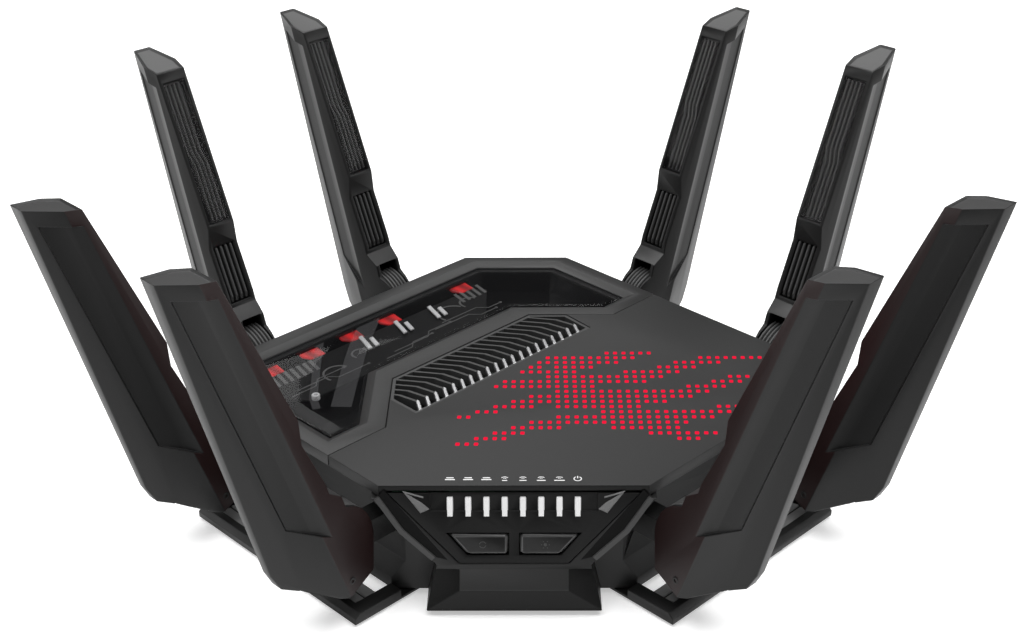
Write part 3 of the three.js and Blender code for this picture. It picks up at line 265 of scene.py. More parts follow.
def dust_group():
    """Specks of dust that lie on what faces up: a fine noise past a limit, times the upward part
    of the surface's normal."""
    tree, start, end = new_group("settled_dust", [("Amount", 0.2)], ["Mask"])
    place = add_node(tree, "ShaderNodeTexCoord")
    facing = add_node(tree, "ShaderNodeNewGeometry")
    split = add_node(tree, "ShaderNodeSeparateXYZ")
    specks = add_node(tree, "ShaderNodeTexNoise", {"Scale": 1300.0, "Detail": 2.0})
    ramp = add_node(
        tree, "ShaderNodeMapRange", {"From Min": 0.68, "From Max": 0.78}, clamp=True
    )
    up = add_node(tree, "ShaderNodeMath", operation="MULTIPLY", use_clamp=True)
    mask = add_node(tree, "ShaderNodeMath", operation="MULTIPLY", use_clamp=True)
    links = tree.links
    links.new(place.outputs["Object"], specks.inputs["Vector"])
    links.new(specks.outputs["Fac"], ramp.inputs["Value"])
    links.new(facing.outputs["Normal"], split.inputs[0])
    links.new(split.outputs["Z"], up.inputs[0])
    links.new(ramp.outputs["Result"], up.inputs[1])
    links.new(up.outputs[0], mask.inputs[0])
    links.new(start.outputs["Amount"], mask.inputs[1])
    links.new(mask.outputs[0], end.inputs["Mask"])
    return tree


def brushed_group():
    """Straight brush lines: a noise stretched along X, as a height."""
    tree, start, end = new_group("brushed_lines", [("Scale", 900.0)], ["Height"])
    place = add_node(tree, "ShaderNodeTexCoord")
    stretch = add_node(tree, "ShaderNodeMapping")
    stretch.inputs["Scale"].default_value = (0.03, 1.0, 1.0)
    noise = add_node(tree, "ShaderNodeTexNoise", {"Detail": 2.0})
    links = tree.links
    links.new(place.outputs["Object"], stretch.inputs["Vector"])
    links.new(stretch.outputs["Vector"], noise.inputs["Vector"])
    links.new(start.outputs["Scale"], noise.inputs["Scale"])
    links.new(noise.outputs["Fac"], end.inputs["Height"])
    return tree


GRAIN = grain_group()
DUST = dust_group()
BRUSHED = brushed_group()


def rgba(colour, factor=1.0):
    return (colour[0] * factor, colour[1] * factor, colour[2] * factor, 1.0)


def blank(name):
    """A material with one Principled shader: the material, its node tree and the shader."""
    material = bpy.data.materials.new(name)
    material.use_nodes = True
    tree = material.node_tree
    return material, tree, tree.nodes["Principled BSDF"]


def bumped(tree, shader, height, strength, distance):
    """Height bends the shader's normal by a bump of some strength and depth in metres."""
    bump = add_node(tree, "ShaderNodeBump", {"Strength": strength, "Distance": distance})
    tree.links.new(height, bump.inputs["Height"])
    tree.links.new(bump.outputs["Normal"], shader.inputs["Normal"])


def plastic(name, colour, roughness, shine=0.4, grain=2200.0, strength=0.3, contrast=0.5, dust=0.06):
    """Moulded plastic: grain in its normal, tone in its colour and roughness, dust on top."""
    material, tree, shader = blank(name)
    shader.inputs["Specular IOR Level"].default_value = shine
    texture = add_node(tree, "ShaderNodeGroup", node_tree=GRAIN)
    texture.inputs["Scale"].default_value = grain
    texture.inputs["Contrast"].default_value = contrast
    specks = add_node(tree, "ShaderNodeGroup", node_tree=DUST)
    specks.inputs["Amount"].default_value = dust
    tone = add_node(tree, "ShaderNodeMix", data_type="RGBA")
    tone.inputs["A"].default_value = rgba(colour, 0.88)
    tone.inputs["B"].default_value = rgba(colour, 1.12)
    dusty = add_node(tree, "ShaderNodeMix", data_type="RGBA")
    dusty.inputs["B"].default_value = (0.28, 0.27, 0.26, 1)
    rough = add_node(
        tree,
        "ShaderNodeMapRange",
        {"To Min": roughness - 0.06, "To Max": roughness + 0.06},
    )
    links = tree.links
    colours = [s for s in tone.outputs if s.type == "RGBA"][0]
    links.new(texture.outputs["Tone"], tone.inputs["Factor"])
    links.new(colours, dusty.inputs["A"])
    links.new(specks.outputs["Mask"], dusty.inputs["Factor"])
    links.new([s for s in dusty.outputs if s.type == "RGBA"][0], shader.inputs["Base Color"])
    links.new(texture.outputs["Tone"], rough.inputs["Value"])
    links.new(rough.outputs["Result"], shader.inputs["Roughness"])
    bumped(tree, shader, texture.outputs["Height"], strength, 0.00006)
    return material


def metal(name, colour, roughness, scale=900.0):
    """Brushed metal: brush lines in its normal."""
    material, tree, shader = blank(name)
    shader.inputs["Base Color"].default_value = rgba(colour)
    shader.inputs["Metallic"].default_value = 1.0
    shader.inputs["Roughness"].default_value = roughness
    texture = add_node(tree, "ShaderNodeGroup", node_tree=BRUSHED)
    texture.inputs["Scale"].default_value = scale
    bumped(tree, shader, texture.outputs["Height"], 0.3, 0.00003)
    return material


def lit(name, colour, strength, edge=0.8):
    """A light guide: a milky surface that glows, a little less where its grain is low."""
    material, tree, shader = blank(name)
    shader.inputs["Base Color"].default_value = rgba(colour, edge)
    shader.inputs["Roughness"].default_value = 0.5
    shader.inputs["Specular IOR Level"].default_value = 0.05
    shader.inputs["Emission Strength"].default_value = strength
    texture = add_node(tree, "ShaderNodeGroup", node_tree=GRAIN)
    texture.inputs["Scale"].default_value = 1400.0
    texture.inputs["Contrast"].default_value = 0.6
    glow = add_node(tree, "ShaderNodeMix", data_type="RGBA")
    glow.inputs["A"].default_value = rgba(colour, 0.85)
    glow.inputs["B"].default_value = rgba(colour, 1.1)
    tree.links.new(texture.outputs["Tone"], glow.inputs["Factor"])
    colours = [s for s in glow.outputs if s.type == "RGBA"][0]
    tree.links.new(colours, shader.inputs["Emission Color"])
    return material


def clear(name, colour, alpha, roughness=0.04, shine=0.4):
    """Clear smoked plastic: a thin, glossy coat that shows what lies below. The inner side of its
    walls doesn't show, and its tone drifts a little."""
    material, tree, shader = blank(name)
    shader.inputs["Roughness"].default_value = roughness
    shader.inputs["Specular IOR Level"].default_value = shine
    texture = add_node(tree, "ShaderNodeGroup", node_tree=GRAIN)
    texture.inputs["Contrast"].default_value = 0.4
    tint = add_node(tree, "ShaderNodeMix", data_type="RGBA")
    tint.inputs["A"].default_value = rgba(colour, 0.8)
    tint.inputs["B"].default_value = rgba(colour, 1.2)
    tree.links.new(texture.outputs["Tone"], tint.inputs["Factor"])
    colours = [s for s in tint.outputs if s.type == "RGBA"][0]
    tree.links.new(colours, shader.inputs["Base Color"])
    side = add_node(tree, "ShaderNodeNewGeometry")
    cover = add_node(tree, "ShaderNodeMath", {0: 1.0}, operation="SUBTRACT")
    share = add_node(tree, "ShaderNodeMath", {1: alpha}, operation="MULTIPLY")
    tree.links.new(side.outputs["Backfacing"], cover.inputs[1])
    tree.links.new(cover.outputs[0], share.inputs[0])
    tree.links.new(share.outputs[0], shader.inputs["Alpha"])
    return material


def striped(name, colour, dark, pitch):
    """Fine lines across a printed tile: a wave along Y picks between two colours."""
    material, tree, shader = blank(name)
    shader.inputs["Roughness"].default_value = 0.4
    place = add_node(tree, "ShaderNodeTexCoord")
    wave = add_node(
        tree,
        "ShaderNodeTexWave",
        {"Scale": 1.0 / (pitch * MM) / 20.0, "Distortion": 0.0},
        bands_direction="DIAGONAL",
    )
    pick = add_node(tree, "ShaderNodeMix", data_type="RGBA")
    pick.inputs["A"].default_value = rgba(dark)
    pick.inputs["B"].default_value = rgba(colour)
    tree.links.new(place.outputs["Object"], wave.inputs["Vector"])
    tree.links.new(wave.outputs["Fac"], pick.inputs["Factor"])
    colours = [s for s in pick.outputs if s.type == "RGBA"][0]
    tree.links.new(colours, shader.inputs["Base Color"])
    tree.links.new(colours, shader.inputs["Emission Color"])
    shader.inputs["Emission Strength"].default_value = 0.35
    return material


COVER = plastic("cover_charcoal", (0.024, 0.024, 0.024), 0.5, shine=0.28)
BEZEL = plastic("bezel_charcoal", (0.026, 0.026, 0.026), 0.42)
BLADE = plastic("blade_grey", (0.007, 0.007, 0.007), 0.42, shine=0.24)
# Darker copies of the blade's grey for faces turned away from the light: painted shade, the second with a red
# tint.
BLADE_SHADE = plastic("blade_shade", (0.005, 0.005, 0.005), 0.5, shine=0.24)
BLADE_RED_SHADE = plastic("blade_red_shade", (0.011, 0.004, 0.004), 0.45, shine=0.25)
CAP = plastic("cap_grey", (0.045, 0.045, 0.045), 0.32)
CAP_RIM = plastic("cap_rim_grey", (0.02, 0.02, 0.02), 0.35, shine=0.3)
LEDGE = plastic("ledge_grey", (0.028, 0.028, 0.028), 0.42, shine=0.4)
BLACK = plastic("case_black", (0.008, 0.008, 0.008), 0.5, shine=0.3)
# A darker copy of the case's black for the nose's lowest forward-facing slopes: painted shade.
TOE_SHADE = plastic("toe_painted_shade", (0.004, 0.004, 0.004), 0.5, shine=0.15)
FACE_BLACK = plastic("face_black", (0.005, 0.005, 0.005), 0.42, shine=0.13)
# Near-black for the thin strips in the face's channels: painted shade.
GROOVE_SHADE = plastic("groove_painted_shade", (0.003, 0.003, 0.003), 0.6, shine=0.1, dust=0.0)
BUTTON = plastic("button_black", (0.009, 0.009, 0.009), 0.4, shine=0.2)
# A lighter grey for the buttons' rounded edges: a painted highlight.
BUTTON_EDGE_HIGHLIGHT = plastic("button_edge_highlight", (0.055, 0.055, 0.055), 0.4)
FACET = plastic("facet_grey", (0.13, 0.13, 0.13), 0.4)
# A lighter copy of the case's black for the up-facing chin: painted light.
CHIN_LIT = plastic("chin_painted_light", (0.020, 0.020, 0.020), 0.42, shine=0.3)
# The deck plates' light grey, raised well above its own value to stand in for the light they catch under the
# blades: partly own colour, partly painted light.
FOOT_GREY_AND_LIGHT = plastic("foot_grey_and_painted_light", (0.20, 0.20, 0.20), 0.45)
DRUM_GREY = plastic("drum_grey", (0.055, 0.055, 0.055), 0.45)
FIN = plastic("fin_grey", (0.040, 0.040, 0.040), 0.4)
RIB = plastic("rib_black", (0.030, 0.030, 0.030), 0.35)
GLOSS = plastic("gloss_black", (0.003, 0.003, 0.003), 0.15, shine=0.4, strength=0.05, dust=0.0)
PRINT = plastic("printed_film", (0.006, 0.006, 0.006), 0.35, shine=0.15, strength=0.1, dust=0.0)
PRINT_GREY = plastic("print_grey", (0.12, 0.12, 0.12), 0.35, shine=0.2, dust=0.0)
SILVER_PRINT = plastic("silver_print", (0.68, 0.68, 0.69), 0.35, dust=0.0)
RED_FILM = plastic("red_film", (0.06, 0.001, 0.004), 0.4, dust=0.0)
RED_CAP = plastic("reset_red", (0.35, 0.01, 0.02), 0.4)
RUBBER = plastic("foot_rubber", (0.008, 0.008, 0.008), 0.85, shine=0.2, grain=900.0)
ICON = lit("icon_white", (0.80, 0.80, 0.80), 0.1)
LIGHT_WHITE = lit("light_white", (0.85, 0.85, 0.85), 0.35, edge=0.6)
LIGHT_RED = lit("light_red", (1.0, 0.0, 0.042), 0.95, edge=0.0)
RED_TILE = striped("red_tile", (0.60, 0.008, 0.010), (0.22, 0.003, 0.005), 0.9)
FIN_SILVER = metal("fin_silver", (0.80, 0.80, 0.81), 0.28)
STEEL = metal("plated_steel", (0.60, 0.61, 0.62), 0.3)
GOLD = metal("contact_gold", (0.83, 0.60, 0.25), 0.25)
SINK = metal("sink_aluminium", (0.55, 0.56, 0.57), 0.4)
BOARD = plastic("board_green", (0.012, 0.045, 0.022), 0.45, dust=0.0)
LENS = clear("clear_lens", (0.010, 0.010, 0.011), 0.30)
COVER_CLEAR = clear("clear_cover", (0.012, 0.012, 0.013), 0.22, shine=0.3)
HAZE = clear("light_streak", (0.28, 0.28, 0.29), 0.16, roughness=0.5, shine=0.2)


# ---------------------------------------------------------------------------
# Forms
# ---------------------------------------------------------------------------
def loft(rings):
    """Rings of equal length carried one to the next, and closed by a flat face at each end.
    rings[i, j] is point j of ring i."""
    rings = np.asarray(rings, float)
    count, size = rings.shape[:2]
    i = np.arange(count - 1)[:, None] * size
    j = np.arange(size)[None, :]
    k = (j + 1) % size
    quads = np.stack([i + j, i + k, i + size + k, i + size + j], -1).reshape(-1, 4)
    ends = [list(range(size))[::-1], list(range((count - 1) * size, count * size))]
    return rings.reshape(-1, 3), quads.tolist() + ends


def together(forms):
    """Several forms as one."""
    points, faces, count = [], [], 0
    for some, these in forms:
        points.append(some)
        faces += [[v + count for v in face] for face in these]
        count += len(some)
    return np.concatenate(points), faces


def copies(form, offsets):
    """The same form at many offsets."""
    points, faces = form
    offsets = np.asarray(offsets, float)
    placed = (points[None] + offsets[:, None]).reshape(-1, 3)
    moved = [[v + n * len(points) for v in face] for n in range(len(offsets)) for face in faces]
    return placed, moved


def inset(outline, distance):
    """A closed outline with every edge moved to its left by a distance. Each new corner is where
    the two moved edges beside it meet."""
    a = np.asarray(outline, float)
    along = np.roll(a, -1, 0) - a
    along /= np.linalg.norm(along, axis=1)[:, None]
    normal = np.stack([-along[:, 1], along[:, 0]], 1)
    reach = (normal * a).sum(1) + distance
    before, reach_before = np.roll(normal, 1, 0), np.roll(reach, 1)
    det = before[:, 0] * normal[:, 1] - before[:, 1] * normal[:, 0]
    x = (reach_before * normal[:, 1] - reach * before[:, 1]) / det
    y = (before[:, 0] * reach - normal[:, 0] * reach_before) / det
    return np.stack([x, y], 1)


def at_height(outline, z):
    return np.column_stack([outline, np.full(len(outline), float(z))])


def tile(outline, low, high, chamfer=0.2):
    """A flat tile: its outline from low to high, with a chamfer round its upper edge."""
    outline = np.asarray(outline, float)
    x, y = outline.T
    if (x * np.roll(y, -1) - y * np.roll(x, -1)).sum() < 0:
        outline = outline[::-1]
    rings = [at_height(outline, low), at_height(outline, high - chamfer)]
    return loft(rings + [at_height(inset(outline, chamfer), high)])


def bar(x, y, z, chamfer=0.2):
    """A tile over a rectangle: x, y and z are its (lowest, highest) values."""
    corners = [(x[0], y[0]), (x[1], y[0]), (x[1], y[1]), (x[0], y[1])]
    return tile(corners, z[0], z[1], chamfer)


def lathe(profile, sides=24):
    """A profile of (radius, height) turned round Z."""
    turn = np.arange(sides) * 2 * np.pi / sides
    profile = np.asarray(profile, float)
    x = profile[:, :1] * np.cos(turn)
    y = profile[:, :1] * np.sin(turn)
    z = np.repeat(profile[:, 1:], sides, 1)
    return loft(np.stack([x, y, z], -1))


def strip(path, width, low, high, chamfer=0.1):
    """A flat ribbon along a path in the plane: each side is the path moved by half the width along
    its normal."""
    path = np.asarray(path, float)
    along = np.gradient(path, axis=0)
    along /= np.linalg.norm(along, axis=1)[:, None]
    normal = np.stack([-along[:, 1], along[:, 0]], 1) * width / 2
    left, right = path + normal, path - normal
    trim = 1 - 2 * chamfer / width
    rings = []
    shoulder = high - chamfer
    for a, b, c, d in zip(left, right, path + normal * trim, path - normal * trim):
        upper = [(*b, shoulder), (*d, high), (*c, high), (*a, shoulder)]
        rings.append([(*a, low), (*b, low)] + upper)
    return loft(rings)


def arc(radius, start, stop, count=16, middle=(0.0, 0.0)):
    """Points of a circular arc between two angles in degrees."""
    turn = np.radians(np.linspace(start, stop, count))
    return np.stack([middle[0] + radius * np.cos(turn), middle[1] + radius * np.sin(turn)], 1)


def piece(name, place, form, material, body="case", smooth=None):
    """A new piece of the object: a form in a place, with a material, riding on a body."""
    points, faces = form
    mesh = bpy.data.meshes.new(name)
    mesh.from_pydata(place(points).tolist(), [], faces)
    work = bmesh.new()
    work.from_mesh(mesh)
    bmesh.ops.recalc_face_normals(work, faces=work.faces)
    work.to_mesh(mesh)
    work.free()
    mesh.materials.append(material)
    if smooth:
        mesh.shade_smooth()
        mesh.set_sharp_from_angle(angle=math.radians(smooth))
    obj = bpy.data.objects.new(name, mesh)
    bpy.context.scene.collection.objects.link(obj)
    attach(obj, body)
    return obj


def moulding(node, material, width=0.35, segments=2, angle=25, shape=None):
    """A CAD node with its triangles merged into flat faces and its edges rounded off. shape may
    work on the merged faces first."""
    mesh = frame["nodes"][node].data.copy()
    mesh.materials.clear()
    mesh.materials.append(material)
    work = bmesh.new()
    work.from_mesh(mesh)
    bmesh.ops.remove_doubles(work, verts=work.verts, dist=2e-6)
    bmesh.ops.dissolve_limit(
        work, angle_limit=math.radians(0.5), verts=work.verts, edges=work.edges
    )
    if shape:
        shape(work, mesh)
    for face in work.faces:
        face.smooth = True
    work.to_mesh(mesh)
    work.free()
    obj = bpy.data.objects.new(node + "_moulding", mesh)
    bpy.context.scene.collection.objects.link(obj)
    rounded = obj.modifiers.new("rounded_edges", "BEVEL")
    rounded.width = width * MM
    rounded.segments = segments
    rounded.limit_method = "ANGLE"
    rounded.angle_limit = math.radians(angle)
    rounded.use_clamp_overlap = False
    rounded.harden_normals = True
    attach(obj, BODIES[node])
    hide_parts(node)
    return obj


def painted(node, material):
    """A CAD node that keeps its shape and takes a material."""
    mesh = frame["nodes"][node].data
    mesh.materials.clear()
    mesh.materials.append(material)


# ---------------------------------------------------------------------------
# Case, top and window
# ---------------------------------------------------------------------------
def shaded_front_rim(work, mesh):
    """Painted shade: the cover's front-facing rim takes the face's darker material, as the light from above leaves
    it dark.
    """
    mesh.materials.append(FACE_BLACK)
    for face in work.faces:
        if face.normal.y < -0.9:
            face.material_index = 1


def toe(work, mesh):
    """Painted shade and light: the lowest slopes of the nose that face forwards take a darker copy of the case's
    black, the chin that faces up a lighter one.
    """
    mesh.materials.append(TOE_SHADE)
    mesh.materials.append(CHIN_LIT)
    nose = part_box("front_face")[0].y + 2 * MM
    for face in work.faces:
        middle = face.calc_center_median()
        if middle.y > nose or face.normal.y > -0.2 or middle.z > 23 * MM:
            continue
        is_chin = face.normal.z > 0.3 and abs(face.normal.x) < 0.1
        face.material_index = 2 if is_chin else 1


moulding("top_cover", COVER, 0.4, shape=shaded_front_rim)
moulding("window_frame", BEZEL, 0.35)
moulding("bottom_case", BLACK, 0.5, shape=toe)
moulding("front_face", FACE_BLACK, 0.3)
moulding("rear_panel", GLOSS, 0.2)
moulding("window_lens", LENS, 0.2)
painted("window_tray", GLOSS)
painted("heat_sink", SINK)
painted("main_board", BOARD)
painted("dot_light_panel", RED_FILM)
painted("status_light_guide", LIGHT_WHITE)
# The caps' rounded edges take a lighter material: a painted highlight.
for name in ("left_button", "right_button"):
    cap = moulding(name, BUTTON, 1.6, segments=1)
    cap.data.materials.append(BUTTON_EDGE_HIGHLIGHT)
    cap.modifiers["rounded_edges"].material = 1
painted("network_ports", STEEL)
painted("usb_ports", STEEL)
moulding("power_inlet", GLOSS, 0.2)
moulding("power_switch", GLOSS, 0.3)
painted("reset_button", RED_CAP)


# Field of dots on the top: rows of small slanted lights, kept where a wave band passes
DOT_PITCH = (4.43, 4.95)
DOT_FIELD_X = (-27, 130)
DOT_FIELD_Y = (-69, 24)
DOT_SIZE = (2.3, 2.7)
EDGE_MARGIN = 7.0
VENT_NEAR = 5.9


def dot_places():
    """Grid points that lie in one of several rolling bands and well inside the cover."""
    x, y = np.meshgrid(np.arange(*DOT_FIELD_X, DOT_PITCH[0]), np.arange(*DOT_FIELD_Y, DOT_PITCH[1]))
    share = (x - DOT_FIELD_X[0]) / (DOT_FIELD_X[1] - DOT_FIELD_X[0])
    thick = 1.5 + 5.2 * np.sin(np.pi * share) ** 0.8
    kept = np.zeros(x.shape, bool)
    for band in range(5):
        middle = -58 + 19 * band + 0.06 * x + 9.5 * np.sin(x / 21 + 0.8 * band)
        kept |= np.abs(y - middle) < thick
    kept &= x + np.abs(y) < TOP_REACH * ROOT2 - EDGE_MARGIN * ROOT2
    kept &= y - x < (VENT_NEAR - EDGE_MARGIN) * ROOT2
    return np.column_stack([x[kept], y[kept], np.full(kept.sum(), TOP_Z)])


def dot_form():
    """A slanted hexagon, a little proud of the cover."""
    w, h = DOT_SIZE[0] / 2, DOT_SIZE[1] / 2
    slant = 0.3
    lower = [(-w, -h * 0.3), (-w * 0.5 - slant, -h), (w - slant, -h)]
    upper = [(w, h * 0.3), (w * 0.5 + slant, h), (-w + slant, h)]
    outline = lower + upper
    return tile(outline, -0.02, 0.10, 0.06)


piece("dot_lights", CASE, copies(dot_form(), dot_places()), LIGHT_RED)

# Status symbols on the top's front edge, one above each light of the front face
LIGHT_COUNT = 8
LIGHT_PITCH = 8.41
SYMBOL_Y = -98.8


def status_symbols():
    """Three pairs of dashes, four radio fans over a dash, and a ring with a gap and a bar."""
    low, high = TOP_Z - 0.02, TOP_Z + 0.05
    forms = []
    for i in range(LIGHT_COUNT):
        x = (i - (LIGHT_COUNT - 1) / 2) * LIGHT_PITCH
        if i < 3:
            for y, half in ((0.9, 1.7), (-0.6, 2.3)):
                middle = SYMBOL_Y + y
                dash = (x - half, x + half), (middle - 0.4, middle + 0.4), (low, high)
                forms.append(bar(*dash, 0.03))
        elif i < LIGHT_COUNT - 1:
            for radius in (0.8, 1.8):
                path = arc(radius, 35, 145, 10, (x, SYMBOL_Y - 0.2))
                forms.append(strip(path, 0.45, low, high, 0.03))
            half = 1.2 + 0.4 * (i - 3)
            forms.append(bar((x - half, x + half), (SYMBOL_Y - 1.7, SYMBOL_Y - 1.0), (low, high), 0.03))
        else:
            forms.append(strip(arc(1.7, 120, 420, 28, (x, SYMBOL_Y)), 0.5, low, high, 0.03))
            forms.append(bar((x - 0.25, x + 0.25), (SYMBOL_Y + 0.4, SYMBOL_Y + 2.3), (low, high), 0.03))
    return together(forms)


piece("status_symbols", CASE, status_symbols(), ICON)

# Under the lens: tiles along the outer edge, printed film, plates, ring, streaks and hatch bars
TILE_ROW = 101.5
TILE_PITCH = 27.2
TILE_SIZE = (6.6, 8.0)  # half length along the row and half width
FILM_Z = 60.0


def window_tiles():
    """Slanted hexagons in a row along the back-left edge, on the film."""
    a, b = TILE_SIZE
    outline = [(-a, -b * 0.35), (-a * 0.55, -b), (a * 0.75, -b), (a, b * 0.35), (a * 0.55, b), (-a * 0.75, b)]
    places = [(-81.8 + TILE_PITCH * k, TILE_ROW, 0) for k in (0, 1, 2, 3, 5)]
    return copies(tile(outline, FILM_Z, FILM_Z + 1.0, 0.3), places)


def film_outline():
    """The printed film follows the lens inside its outer band, from the front end to the right."""
    near = 56.1 + 5
    far = 94.0
    lower = [(-104, near + 20), (-86, near), (38, near), (64, near + 26)]
    upper = [(64, far - 6), (58, far), (-98, far), (-110, far - 12)]
    return lower + upper


def film_marks():
    """Thin printed lines: bent traces that run along the film and end in pads."""
    forms = []
    z = (FILM_Z + 0.45, FILM_Z + 0.6)
    left_runs = [(-90, -52, 70, 5), (-84, -40, 73, -4), (-30, 6, 66, 4)]
    right_runs = [(-22, 22, 69, 4), (10, 52, 72, -5), (18, 58, 75, -5)]
    for k, (u0, u1, v, jog) in enumerate(left_runs + right_runs):
        bend = u0 + (u1 - u0) * (0.4 + 0.05 * k)
        path = [(u0, v), (bend, v), (bend + abs(jog), v + jog), (u1, v + jog)]
        forms.append(strip(path, 0.6, *z, 0.04))
        forms.append(tile(arc(0.9, 0, 330, 12, path[-1]), *z, 0.04))
    for u, v, size in ((-58, 72, 8), (-36, 80, 5), (30, 79, 9), (46, 82, 6)):
        forms.append(strip(arc(size, 20, 200, 14, (u, v)), 1.1, *z, 0.04))
    return together(forms)


def slanted_bars():
    """Three pairs of plain slanted bars, evenly spaced along the middle of the film."""
    z = (FILM_Z + 1.4, FILM_Z + 2.2)
    long = tile([(-5.6, -7), (-3.0, -7), (1.6, 7), (-1.0, 7)], *z, 0.2)
    short = tile([(-0.6, -7), (2.0, -7), (4.9, 2), (2.3, 2)], *z, 0.2)
    return copies(together([long, short]), [(-26 + 25 * k, 86, 0) for k in range(3)])


def hatch_bars():
    """Two runs of slanted dashes on the film and a short one on the right."""
    outline = [(-1.1, -5.5), (0.9, -5.5), (3.4, 5.5), (1.4, 5.5)]
    rows = [(u, 88, 0) for u in np.arange(-88, -62, 4.2)] + [(u, 90, 0) for u in np.arange(44, 62, 4.2)]
    return copies(tile(outline, FILM_Z + 0.45, FILM_Z + 0.7, 0.06), rows)


def light_streaks():
    """Two hazy streaks across the left end: a narrow one to the ring and a wide bent one."""
    z = (FILM_Z + 2.0, FILM_Z + 2.25)
    narrow = strip([(-105.8, 58), (-104.2, 20), (-101.8, -19), (-99, -29)], 4.2, *z, 0.05)
    wide = strip([(-80, 68), (-84, 34), (-86, 0), (-87, -27)], 10.5, *z, 0.05)
    return together([narrow, wide])


piece("window_tiles", VENT, window_tiles(), RED_TILE)
piece("window_film", VENT, tile(film_outline(), FILM_Z - 0.6, FILM_Z + 0.4, 0.2), PRINT)
piece("film_traces", VENT, film_marks(), PRINT_GREY)
piece("film_bars", VENT, slanted_bars(), SILVER_PRINT)
piece("film_hatch", VENT, hatch_bars(), PRINT_GREY)
piece("window_streaks", CASE, light_streaks(), HAZE)
BOSS = [(2.2, FILM_Z), (2.2, FILM_Z + 2.2), (1.9, FILM_Z + 2.6), (1.2, FILM_Z + 2.6), (1.0, FILM_Z + 1.6)]
piece("window_boss", CASE.moved((-101, -15.3, 0)), lathe(BOSS), SILVER_PRINT, smooth=40)


# ---------------------------------------------------------------------------
# Vent
# ---------------------------------------------------------------------------
painted("vent_grille", FIN)
GRILLE_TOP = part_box("vent_grille")[1].z / MM
FIN_PITCH = 6.0
FIN_COUNT = 20
VENT_LEFT = -62.69
FIN_START = 4.2
TIP_SHIFT = 0.2


def fin_tips():
    """A bright slanted facet on the near end of each fin. Its outline follows the fin's first
    stretch, and it stands a little proud."""
    outline = [(-1.3, 1.5), (0.9, 1.5), (5.2, 8.0), (5.0, 9.8), (3.0, 8.2)]
    form = tile(outline, GRILLE_TOP - 2.0, GRILLE_TOP + 0.35, 0.3)
    starts = VENT_LEFT + FIN_START + FIN_PITCH * np.arange(FIN_COUNT)
    return copies(form, [(u + TIP_SHIFT, VENT_NEAR, 0) for u in starts])


piece("vent_fin_tips", VENT, fin_tips(), FIN_SILVER)


# ---------------------------------------------------------------------------
# Front face: chevrons, rails and button marks, in the face's plane
# ---------------------------------------------------------------------------
def mirrored(form):
    """The same form on the other side of the middle plane."""
    points, faces = form
    return points * np.array([-1.0, 1.0, 1.0]), [face[::-1] for face in faces]


def chevron():
    """A low wedge that widens downwards, and a thin line along its upper side."""
    foot = np.array([(51.1, -2.7), (42.3, -8.4), (38.8, -11.6), (43.0, -13.7)])
    crest = np.array([(50.3, -3.4, 0.25), (42.9, -8.6, 0.5), (39.8, -11.5, 1.0), (42.8, -12.9, 0.9)])
    wedge = loft([at_height(foot, -0.4), at_height(foot, 0.05), crest])
    line = tile([(51.1, -2.7), (41.5, -5.4), (41.5, -6.2), (50.2, -3.6)], -0.4, 0.3, 0.1)
    return together([wedge, line])


STRUT_PATH = ((63.0, -6.0), (52.0, -22.5), (37.3, -36.2))


def strut():
    """A rail along the nose's slanting edge, with a lit outer slope below its knee."""
    path = np.array(STRUT_PATH)
    along = np.gradient(path, axis=0)
    along /= np.linalg.norm(along, axis=1)[:, None]
    side = np.stack([along[:, 1], -along[:, 0]], 1)
    rings = []
    for p, s in zip(path, side):
        inner, outer = p - s * 1.4, p + s * 1.4
        crest = p + s * 1.0
        rings.append([(*inner, -4.0), (*outer, -4.0), (*outer, 0.2), (*crest, 0.8), (*inner, 0.4)])
    return loft(rings)


def face_groove_shade():
    """A dark strip between the face's slanting edge and the rail, where the channel lies: painted shade."""
    return tile([(59.6, -2.0), (62.2, -5.0), (50.6, -22.0), (36.2, -35.6), (31.0, -36.9)], -0.3, 0.12, 0.05)


def button_marks():
    """A ring of two arrows' worth of arc on one button, a small sun of dots on the other."""
    z = (0.5, 0.58)
    forms = [strip(arc(1.5, 20, 170, 12, (-14.5, -29.2)), 0.35, *z, 0.03)]
    forms.append(strip(arc(1.5, 200, 350, 12, (-14.5, -29.2)), 0.35, *z, 0.03))
    forms.append(tile(arc(0.8, 0, 340, 14, (14.5, -29.2)), *z, 0.03))
    for turn in range(0, 360, 60):
        x = 14.5 + 1.8 * math.cos(math.radians(turn))
        y = -29.2 + 1.8 * math.sin(math.radians(turn))
        forms.append(tile(arc(0.28, 0, 315, 8, (x, y)), *z, 0.03))
    return forms


piece("chevron_right", FACE, chevron(), FACET)
piece("chevron_left", FACE, mirrored(chevron()), FACET)
piece("nose_strut_right", FACE, strut(), LEDGE)
piece("nose_strut_left", FACE, mirrored(strut()), LEDGE)
piece("face_groove_shade_right", FACE, face_groove_shade(), GROOVE_SHADE)
piece("face_groove_shade_left", FACE, mirrored(face_groove_shade()), GROOVE_SHADE)
marks = button_marks()
piece("left_button_mark", FACE, together(marks[:2]), LEDGE, "left_button")
piece("right_button_mark", FACE, together(marks[2:]), LEDGE, "right_button")


